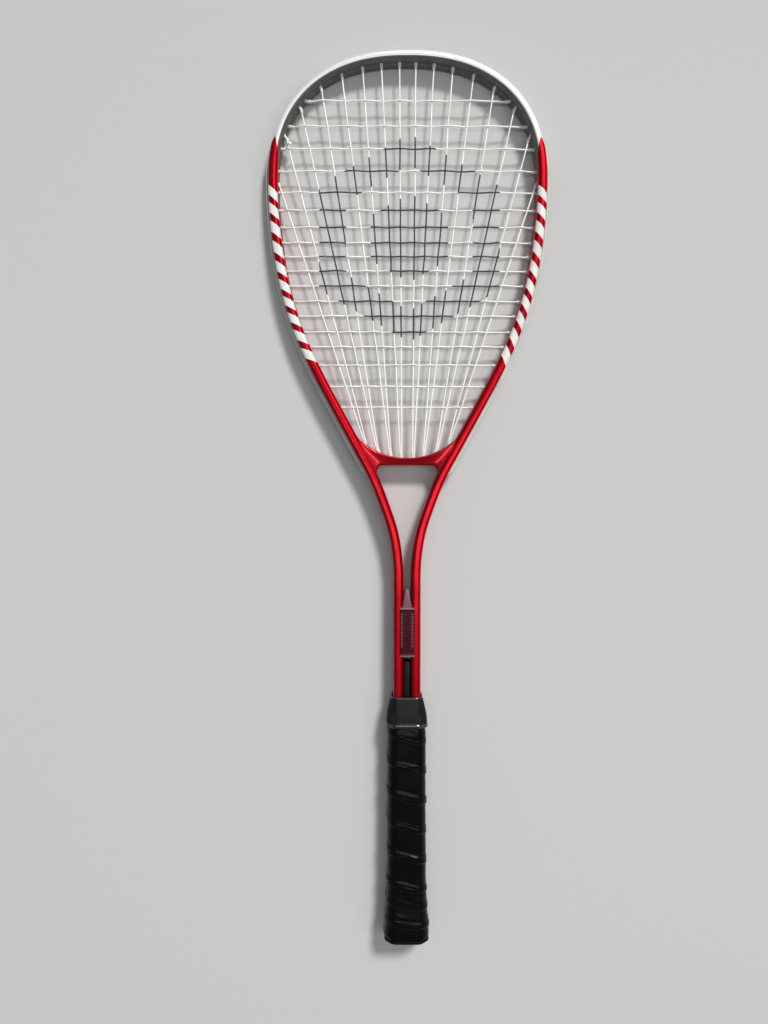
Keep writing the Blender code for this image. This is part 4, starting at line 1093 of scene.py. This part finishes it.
def channel_points(guide, following, z):
    """A string's way along the channel from one guide to the next."""
    start, end = guide.along * guide.side, following.along * following.side
    sign = 1 if end > start else -1
    count = max(2, int(abs(end - start) / 3.5))
    return [loop_point(start + sign * 0.9 + (end - start - sign * 1.8) * i / count, z)
            for i in range(count + 1)]


def loose_end(guide, z, direction):
    start = guide.along * guide.side
    return [loop_point(start + direction * step, z) for step in (0.9, 3.0, 5.5)]


def find_crossings():
    """(cross, main) to x, y and 1 or -1 for the cross in front or behind."""
    rng = np.random.default_rng(11)
    crossings = {}
    for j, (top_guide, low_path) in enumerate(main_ends):
        top, low = top_guide.path[-1], low_path[-1]
        for i, y in enumerate(CROSS_Y):
            if not low[1] + 2.0 < y < top[1] - 2.0:
                continue
            share = (top[1] - y) / (top[1] - low[1])
            x = top[0] + share * (low[0] - top[0])
            left, right = (guide.path[-1][0] for guide in cross_ends[i])
            if left + 1.6 < x < right - 1.6:
                # a little sideways give
                jitter = rng.normal(0, 0.14, 2)
                crossings[(i, j)] = (x + jitter[0], y + jitter[1], 1 if (i + j) % 2 else -1)
    return crossings


def eased(points, heights, step=0.9):
    """Straight runs in plan with z eased from crossing to crossing."""
    points, heights = np.asarray(points, float), np.asarray(heights, float)
    line = []
    for start, end, z0, z1 in zip(points, points[1:], heights, heights[1:]):
        count = max(3, int(float(np.linalg.norm(end - start)) / step))
        for i in range(count):
            t = i / count
            rise = 0.35 * t + 0.65 * t * t * t * (t * (6 * t - 15) + 10)
            line.append((*(start + (end - start) * t), z0 + (z1 - z0) * rise))
    line.append((*points[-1], heights[-1]))
    return np.array(line)


def woven_run(first, last, crossings, z, swing):
    """A string from outside one guide, through the bed, out of another."""
    points = [first[-1][:2]] + [(x, y) for x, y, _ in crossings] + [last[-1][:2]]
    heights = [z] + [BED_Z + sign * swing for _, _, sign in crossings] + [z]
    return np.vstack([first[:-1], eased(points, heights), last[::-1][1:]])


def far_turn(first, second):
    """The small loop joining two strings of a pair behind their hole."""
    start, end = first[0], second[0]
    back = unit(first[0] - first[1])
    middle = (start + end) / 2 + back * 0.85
    return [start + (middle - start) * 0.55 + back * 0.12, middle,
            end + (middle - end) * 0.55 + back * 0.12]


def main_line(crossings):
    line = []
    last = len(main_ends) - 1
    for j, (guide, low) in enumerate(main_ends):
        met = [crossings[(i, j)] for i in range(len(CROSS_Y)) if (i, j) in crossings]
        run = woven_run(guide.path, low, met, MAIN_Z, -MAIN_SWING)
        if j == 0:
            line += loose_end(guide, MAIN_Z, 1)[::-1]
        if j % 2 == 0:
            line += list(run) + far_turn(low, main_ends[j + 1][1])
        else:
            line += list(run[::-1])
            if j < last:
                line += channel_points(guide, main_ends[j + 1][0], MAIN_Z)
            else:
                line += loose_end(guide, MAIN_Z, -1)
    return line


def cross_line(crossings):
    line = []
    for i, (left, right) in enumerate(cross_ends):
        met = [crossings[(i, j)] for j in range(len(main_ends)) if (i, j) in crossings]
        run = woven_run(left.path, right.path, met, CROSS_Z, CROSS_SWING)
        rightward = i % 2 == 0
        end = right if rightward else left
        if i == 0:
            line += loose_end(left, CROSS_Z, 1)[::-1]
        line += list(run if rightward else run[::-1])
        if i < len(CROSS_Y) - 1:
            line += channel_points(end, cross_ends[i + 1][1 if rightward else 0], CROSS_Z)
        else:
            line += loose_end(end, CROSS_Z, end.side)
    return line


def knot_lines():
    """A small trefoil knot and its tail on the second main from the left."""
    guide, low = main_ends[1]
    top = guide.path[-1]
    axis = unit(low[-1] - top)
    centre = top + axis * 0.3 + np.array((0.35, 0.0, 0.6))
    size = 2.35
    side = unit(np.cross(axis, (0.0, 0.0, 1.0)))
    other = np.cross(axis, side)
    t = np.linspace(0, 2 * math.pi, 120, endpoint=False)[:, None]
    knot = (centre + (np.sin(t) + 2 * np.sin(2 * t)) * size / 3 * side
            + (np.cos(t) - 2 * np.cos(2 * t)) * size / 3 * other
            - np.sin(3 * t) * size * 0.75 * axis)
    tail = centre + np.array([(-0.2, 0.4, 1.0), (-0.9, 1.8, 1.9), (-1.0, 3.4, 1.8)])
    return [np.vstack([knot, knot[:1]]), chaikin(tail, closed=False)]


crossings = find_crossings()
build_string("main_string_strung", [main_line(crossings)] + knot_lines(), MAIN_NYLON,
             "main_string")
build_string("cross_string_woven", [cross_line(crossings)], CROSS_NYLON,
             "cross_string")


# ------------------------------------------------------- rounded octagon rings
def octagon(half_w, half_d, cut_w, cut_d):
    """Rectangle in x and z with its corners cut."""
    return np.array([
        (half_w, -half_d + cut_d), (half_w, half_d - cut_d),
        (half_w - cut_w, half_d), (-half_w + cut_w, half_d),
        (-half_w, half_d - cut_d), (-half_w, -half_d + cut_d),
        (-half_w + cut_w, -half_d), (half_w - cut_w, -half_d)])


def grip_oct(half_w, half_d):
    return octagon(half_w, half_d, half_w * 0.37, half_d * 0.42)


def core_oct(half_w, half_d):
    return octagon(half_w, half_d, half_w * 0.31, half_d * 0.30)


def collar_oct(half_w, half_d):
    """The front flat keeps its width while the bevels grow downwards."""
    cut = half_w - (8.3 + 0.05 * (half_w - 12.0))
    return octagon(half_w, half_d, cut, cut * 0.92)


def rounded(corners, radius, count, samples=2048):
    """Round a convex polygon's corners and sample it evenly by angle."""
    loop = np.vstack([corners, corners[:1]])
    distances = run_lengths(loop)
    total = distances[-1]
    even = at_distance(np.linspace(0, total, samples, endpoint=False), distances, loop)
    width = int(radius / total * samples)
    kernel = np.hanning(2 * width + 1)
    even = filtered(np.vstack([even[-width:], even, even[:width]]), kernel / kernel.sum())
    angle = np.arctan2(even[:, 1], even[:, 0])
    order = np.argsort(angle)
    angle, radii = angle[order], np.hypot(even[order, 0], even[order, 1])
    want = np.linspace(-math.pi, math.pi, count, endpoint=False)
    reach = np.interp(want, np.r_[angle - 2 * math.pi, angle, angle + 2 * math.pi],
                      np.r_[radii, radii, radii])
    return np.c_[np.cos(want) * reach, np.sin(want) * reach]


def profile_rings(profile, count):
    """Rings from rows of y, half width, half depth, section, corner radius."""
    return [level_ring(rounded(kind(half_w, half_d), radius, count), y)
            for y, half_w, half_d, kind, radius in profile]


# ----------------------------------------------------------------- grip wrap
GRIP_AROUND, GRIP_ALONG = 200, 520
# y, half width, half depth
GRIP_OUTSIDE = [
    (2.6, 16.9, 15.2), (4.0, 17.15, 15.5), (10.0, 17.0, 15.4), (20.0, 16.2, 14.7),
    (32.0, 15.3, 13.8), (45.0, 14.85, 13.35), (100.0, 14.75, 13.3), (159.0, 14.6, 13.2),
    (163.0, 14.1, 12.75), (170.5, 13.95, 12.7)]
# y, half width, half depth, section, corner radius
GRIP_INSIDE = [
    (170.5, 13.25, 11.95, core_oct, 0.8), (100.0, 13.3, 12.0, core_oct, 0.8),
    (30.0, 13.4, 12.1, core_oct, 0.8), (24.0, 14.5, 13.1, core_oct, 0.8),
    (11.5, 15.55, 14.3, grip_oct, 0.8), (2.6, 15.65, 14.3, grip_oct, 0.8)]
# the tape's pitch near the butt and above it, and the height of the change
PITCH_LOW, PITCH_HIGH, PITCH_CHANGE_Y = 13.6, 22.8, 40.0
# wrinkles beside the lap: distance from its edge, width, noise seed, height
WRINKLES = [(3.3, 0.75, 1.0, 0.26), (5.9, 0.85, 5.0, 0.24), (8.6, 1.1, 8.0, 0.18)]


def wrap_turn(y):
    """Turns of tape below height y."""
    if y < PITCH_CHANGE_Y:
        return y / PITCH_LOW
    return PITCH_CHANGE_Y / PITCH_LOW + (y - PITCH_CHANGE_Y) / PITCH_HIGH


def ease(start, end, x):
    t = min(1.0, max(0.0, (x - start) / (end - start)))
    return t * t * (3 - 2 * t)


def tape_relief(point, turn, pitch):
    """Height of the tape over the bare octagon, and closeness to a seam."""
    slow, fast = smooth_noise(point, 0.10, 3.0), smooth_noise(point, 0.26, 9.0)
    phase = (turn + 0.030 * slow + 0.008 * fast) % 1.0
    past = phase * pitch       # distance up from the seam
    lap = (4.6 if pitch == PITCH_HIGH else 3.4) + 1.2 * slow
    # the lap: a rolled edge, a plateau over the turn below, a soft fall
    rise = 1.0 / (1.0 + math.exp(-(past - 0.7) / 0.20))
    own = 0.78 + 0.34 * math.sin(2.1 * math.floor(turn) + 1.0) + 0.35 * smooth_noise(
        point, 0.05, 4.0)
    height = rise * 0.70 * max(0.35, own) * (1.0 - ease(lap, lap + 3.2, past))
    height += 0.16 * rise * math.exp(-((past - 1.5) / 0.9) ** 2)
    height += 0.10 * rise
    for place, width, seed, amount in WRINKLES:
        strength = max(0.0, smooth_noise(point, 0.085, seed) * 2.2 + 0.15)
        centre = place + 1.8 * smooth_noise(point, 0.12, seed + 2.0) + 0.9 * slow
        height += amount * strength * math.exp(-((past - centre) / width) ** 2)
    # hollows from the hand, and the tape's soft thickness
    height += 0.26 * smooth_noise(point, 0.055, 7.0) + 0.09 * smooth_noise(point, 0.22, 2.0)
    height += 0.20 * math.sin(math.pi * phase) ** 2 - 0.08
    return height, math.exp(-(min(past, pitch - past) / 0.5) ** 2)


def build_grip():
    """A sleeve: the wound tape outside, the core's shape inside."""
    heights, half_ws, half_ds = zip(*GRIP_OUTSIDE)
    angle = np.linspace(-math.pi, math.pi, GRIP_AROUND, endpoint=False)
    rings, creases = [], []
    for y in np.linspace(heights[0], heights[-1], GRIP_ALONG):
        half_w = float(np.interp(y, heights, half_ws))
        half_d = float(np.interp(y, heights, half_ds))
        base = rounded(grip_oct(half_w, half_d), 8.0, GRIP_AROUND)
        radius = np.hypot(base[:, 0], base[:, 1])
        ways = base / radius[:, None]
        # the tape climbs once round for each turn, so on the front the seams
        # slope down to the right
        turns = wrap_turn(y) - angle / (2 * math.pi) + 0.33
        pitch = PITCH_LOW if y < PITCH_CHANGE_Y else PITCH_HIGH
        # the relief fades out towards both ends
        fade = min(1.0, max(0.0, (y - 3.2) / 2.5)) * min(1.0, max(0.0, (164.5 - y) / 4.0))
        relief = np.array([tape_relief((x * 14, y, z * 14), turn, pitch)
                           for (x, z), turn in zip(ways, turns)]) * fade
        rings.append(level_ring(ways * (radius + relief[:, 0])[:, None], y))
        creases.append(relief[:, 1])
    inner = profile_rings(GRIP_INSIDE, GRIP_AROUND)
    shapes = Shapes()
    shapes.add(rings + inner, closed=True,
               crease=np.vstack([creases, np.zeros((len(inner), GRIP_AROUND))]))
    shapes.finish("grip_tape_wound", [GRIP], "grip_wrap", sharp=60)


build_grip()

# ------------------------------------------------------------------ butt cap
# y, half width, half depth, section, corner radius
CAP_PROFILE = [
    (0.55, 8.0, 6.6, grip_oct, 5.0), (0.55, 12.6, 11.2, grip_oct, 4.5),
    (0.50, 13.0, 11.6, grip_oct, 4.5), (0.12, 13.3, 11.9, grip_oct, 4.5),
    (0.0, 13.7, 12.2, grip_oct, 4.5), (0.0, 15.9, 14.3, grip_oct, 4.5),
    (0.15, 16.5, 14.9, grip_oct, 4.5), (0.5, 16.9, 15.3, grip_oct, 4.5),
    (1.1, 17.05, 15.45, grip_oct, 4.5), (2.0, 17.05, 15.45, grip_oct, 4.5),
    (2.4, 16.9, 15.3, grip_oct, 4.5), (2.5, 16.4, 14.8, grip_oct, 4.5),
    (2.6, 15.3, 13.8, grip_oct, 2.0), (11.0, 15.2, 13.6, grip_oct, 2.0),
    (23.0, 14.1, 12.75, core_oct, 1.0), (23.0, 13.35, 12.05, core_oct, 1.0),
    (3.0, 13.35, 12.05, core_oct, 1.0)]
# raised ring in the middle of the end: y, radius
CAP_RING = [(0.75, 6.4), (0.38, 6.2), (0.30, 5.9), (0.30, 5.5), (0.38, 5.2), (0.75, 5.0)]


def build_cap():
    shapes = Shapes()
    shapes.add(profile_rings(CAP_PROFILE, 128))
    angle = np.arange(64) * 2 * math.pi / 64
    circle = np.c_[np.cos(angle), np.sin(angle)]
    shapes.add([level_ring(circle * radius, y) for y, radius in CAP_RING], closed=True)
    shapes.finish("butt_cap_moulded", [BLACK], "butt_cap", sharp=45)


build_cap()

# -------------------------------------------------------------------- collar
# y, half width, half depth, section, corner radius, lip
COLLAR_PROFILE = [
    (163.95, 15.2, 13.9, core_oct, 1.2, 1), (163.7, 15.45, 14.15, grip_oct, 2.0, 1),
    (163.75, 15.65, 14.4, grip_oct, 2.4, 1), (164.1, 15.85, 14.6, grip_oct, 2.6, 1),
    (164.7, 15.98, 14.78, grip_oct, 2.6, 1), (165.5, 16.0, 14.8, grip_oct, 2.6, 1),
    (166.2, 15.9, 14.65, grip_oct, 2.6, 1), (166.8, 15.68, 14.4, collar_oct, 2.6, 0.6),
    (167.3, 15.56, 14.26, collar_oct, 2.4, 0.2), (168.3, 15.52, 14.2, collar_oct, 2.2, 0),
    (171.0, 15.42, 14.1, collar_oct, 2.0, 0), (173.5, 15.1, 13.8, collar_oct, 1.9, 0),
    (176.0, 14.55, 13.4, collar_oct, 1.8, 0), (179.0, 13.85, 12.95, collar_oct, 1.7, 0),
    (182.5, 13.0, 12.45, collar_oct, 1.6, 0), (185.2, 12.4, 12.05, collar_oct, 1.6, 0.1),
    (185.8, 12.3, 11.94, collar_oct, 1.6, 0.9), (186.5, 12.15, 11.66, collar_oct, 1.6, 1),
    (186.9, 11.95, 11.3, collar_oct, 1.6, 1), (187.0, 11.6, 10.9, collar_oct, 1.5, 0.6),
    (187.0, 11.15, 9.85, core_oct, 1.0, 0), (186.8, 11.0, 9.55, core_oct, 1.0, 0),
    (177.5, 11.0, 9.55, core_oct, 1.0, 0), (174.0, 13.8, 12.4, core_oct, 1.0, 0),
    (171.6, 14.9, 13.55, core_oct, 1.0, 0), (165.5, 14.9, 13.55, core_oct, 1.0, 0)]

collar = Shapes()
collar.add(profile_rings([row[:5] for row in COLLAR_PROFILE], 160), closed=True,
           lip=np.array([row[5] for row in COLLAR_PROFILE])[:, None])
collar.finish("collar_rubber_moulded", [RUBBER], "collar", sharp=55,
              body="collar")

# ---------------------------------------------------------------- shaft clip
CLIP_LOW_Y, CLIP_HIGH_Y, CLIP_TIP_Y = 217.5, 255.0, 269.5
WEB_HALF = 2.72            # the part between the shafts
# quarter of the section: x, z
CLIP_QUARTER = [
    (WEB_HALF, 0.0), (WEB_HALF, 6.4), (WEB_HALF + 0.3, 7.2), (4.1, 8.6), (4.9, 9.25),
    (5.35, 9.6), (5.5, 9.95), (5.35, 10.3), (4.9, 10.45), (0.0, 10.5)]
# y, scale, frost (paler colour, on the end rims also a painted highlight)
CLIP_STATIONS = [
    (CLIP_LOW_Y, 0.955, 1.0), (CLIP_LOW_Y + 0.25, 0.99, 1.0), (CLIP_LOW_Y + 0.8, 1.0, 1.0),
    (CLIP_LOW_Y + 1.1, 0.985, 0.4), (CLIP_LOW_Y + 1.4, 0.965, 0.0),
    *((y, 0.962, 0.0) for y in np.linspace(CLIP_LOW_Y + 2.5, CLIP_HIGH_Y - 2.5, 18)),
    (CLIP_HIGH_Y - 1.5, 0.965, 0.0), (CLIP_HIGH_Y - 1.2, 0.985, 0.4),
    (CLIP_HIGH_Y - 0.9, 1.0, 1.0), (CLIP_HIGH_Y - 0.25, 0.99, 1.0), (CLIP_HIGH_Y, 0.955, 1.0)]
WEDGE_RINGS = 18
TEETH, TOOTH_PITCH, TOOTH_X = 15, 1.76, 4.05
# height over the clip's face, x scale, half length in y
TOOTH_PROFILE = [(-0.25, 1.0, 0.52), (0.22, 0.97, 0.46), (0.36, 0.84, 0.30)]


def clip_body(shapes):
    section = chaikin(four_way(CLIP_QUARTER))
    rings = [level_ring(section * (0.75 + 0.25 * scale, scale), y)
             for y, scale, _ in CLIP_STATIONS]
    frost = np.array([row[2] for row in CLIP_STATIONS])
    shapes.add(rings, frost=frost[:, None] * 0.75)


def clip_wedge(shapes):
    """Wedge towards the head: wide on the shafts, narrow at its tip."""
    start = CLIP_HIGH_Y - 1.0
    share = np.arange(WEDGE_RINGS) / (WEDGE_RINGS - 1)
    rings = []
    for t in share:
        top = 9.3 - 3.4 * t ** 1.5
        wide = 4.3 - 2.9 * t ** 0.8
        neck = min(wide, WEB_HALF)
        quarter = [(neck, 0.0), (neck, top - 3.0), (neck + (wide - neck) * 0.4, top - 2.0),
                   (wide, top - 1.0), (wide * 0.92, top - 0.25), (wide * 0.6, top),
                   (0.0, top + 0.05)]
        loop = chaikin(four_way(quarter), 1)
        rings.append(level_ring(loop, start + (CLIP_TIP_Y - start) * t))
    # the last ring is drawn in to soften the tip
    rings[-1] = rings[-1] * (0.85, 1.0, 0.85)
    shapes.add(rings, frost=0.30 + 0.25 * share[:, None])


def clip_teeth(shapes):
    """Two rows of small teeth on the front and on the back."""
    for face in (1, -1):
        for side in (-1, 1):
            for i in range(TEETH):
                centre = (side * TOOTH_X, CLIP_LOW_Y + 8.0 + i * TOOTH_PITCH)
                rings = []
                for height, scale, half_y in TOOTH_PROFILE:
                    loop = rounded(octagon(0.95 * scale, half_y, 0.2, 0.16), 0.12, 16)
                    rings.append(np.c_[centre + loop, np.full(16, face * (10.08 + height))])
                shapes.add(rings, frost=0.35)


clip = Shapes()
clip_body(clip)
clip_wedge(clip)
clip_teeth(clip)
clip.finish("shaft_clip_moulded", [SMOKE], "shaft_clip", sharp=35)

# ----------------------------------------------------------------- neck plug
# y, half depth, scale of the width
PLUG_PROFILE = [(172.4, 7.4, 1.0), (200.0, 7.2, 1.0), (205.0, 6.7, 1.0), (212.8, 4.9, 1.0),
                (213.7, 4.5, 0.9), (214.0, 4.0, 0.72)]
plug = Shapes()
plug.add([level_ring(rounded(octagon(2.7 * scale, half_d, 0.5, 0.6), 0.5, 48), y)
          for y, half_d, scale in PLUG_PROFILE])
plug.finish("neck_plug_moulded", [BLACK], "neck_plug", sharp=45)

# ------------------------------------------------ looks of the kept CAD nodes
for look, names in (
        (CORE, ("handle_core_front", "handle_core_back")),
        (METAL, ("handle_pin_lower", "handle_pin_upper", "left_bridge_pin",
                 "right_bridge_pin", "butt_staple_front", "butt_staple_back")),
        (TAPE, ("finishing_tape",))):
    for name in names:
        dress(NODES[name], look)

# ----------------------------------------------------------------- the stage
FLOOR_HALF, FLOOR_Y = 6000.0, 328


def floor_z(y):
    """The floor rises slightly towards the crown."""
    return -14.95 + (y - 165.6) * 0.01117


corners = [(x * FLOOR_HALF, FLOOR_Y + y * FLOOR_HALF)
           for x, y in ((-1, -1), (1, -1), (1, 1), (-1, 1))]
floor = make_mesh("floor", [(x, y, floor_z(y)) for x, y in corners], [(0, 1, 2, 3)],
                  smooth=False)
dress(floor, floor_material())
floor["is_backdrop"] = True

world = bpy.data.worlds.new("studio")
world.use_nodes = True
background = world.node_tree.nodes["Background"]
background.inputs["Color"].default_value = (0.90, 0.95, 1.0, 1.0)
background.inputs["Strength"].default_value = 0.24
scene.world = world


def add_light(name, kind, location, target, **settings):
    """Light aimed at a target; places are in metres."""
    data = bpy.data.lights.new(name, kind)
    for key, value in settings.items():
        setattr(data, key, value)
    light = bpy.data.objects.new(name, data)
    scene.collection.objects.link(light)
    light.location = location
    way = Vector(target) - Vector(location)
    light.rotation_euler = way.to_track_quat("-Z", "Y").to_euler()


add_light("key", "SUN", location=(0.50, 0.95, 1.15), target=(0.0, 0.0, 0.0),
          energy=2.8, angle=math.radians(11.0), color=(1.0, 0.985, 0.96))
add_light("overhead", "AREA", location=(0.34, 0.30, 1.50), target=(0.0, 0.32, 0.0),
          shape="RECTANGLE", size=0.30, size_y=1.9, energy=8.0)

lens = bpy.data.cameras.new("camera")
lens.sensor_fit = "AUTO"
lens.sensor_width = 36.0
lens.lens = 28.125
lens.clip_start = 0.01
camera = bpy.data.objects.new("camera", lens)
scene.collection.objects.link(camera)
camera.location = (-0.0178, 0.3284, 0.6215)
camera.rotation_euler = (0.0, 0.0, math.radians(0.10))
scene.camera = camera
scene.view_settings.view_transform = "Standard"
scene.view_settings.look = "None"

# ------------------------------------------------------------------ object bounds
low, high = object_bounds()
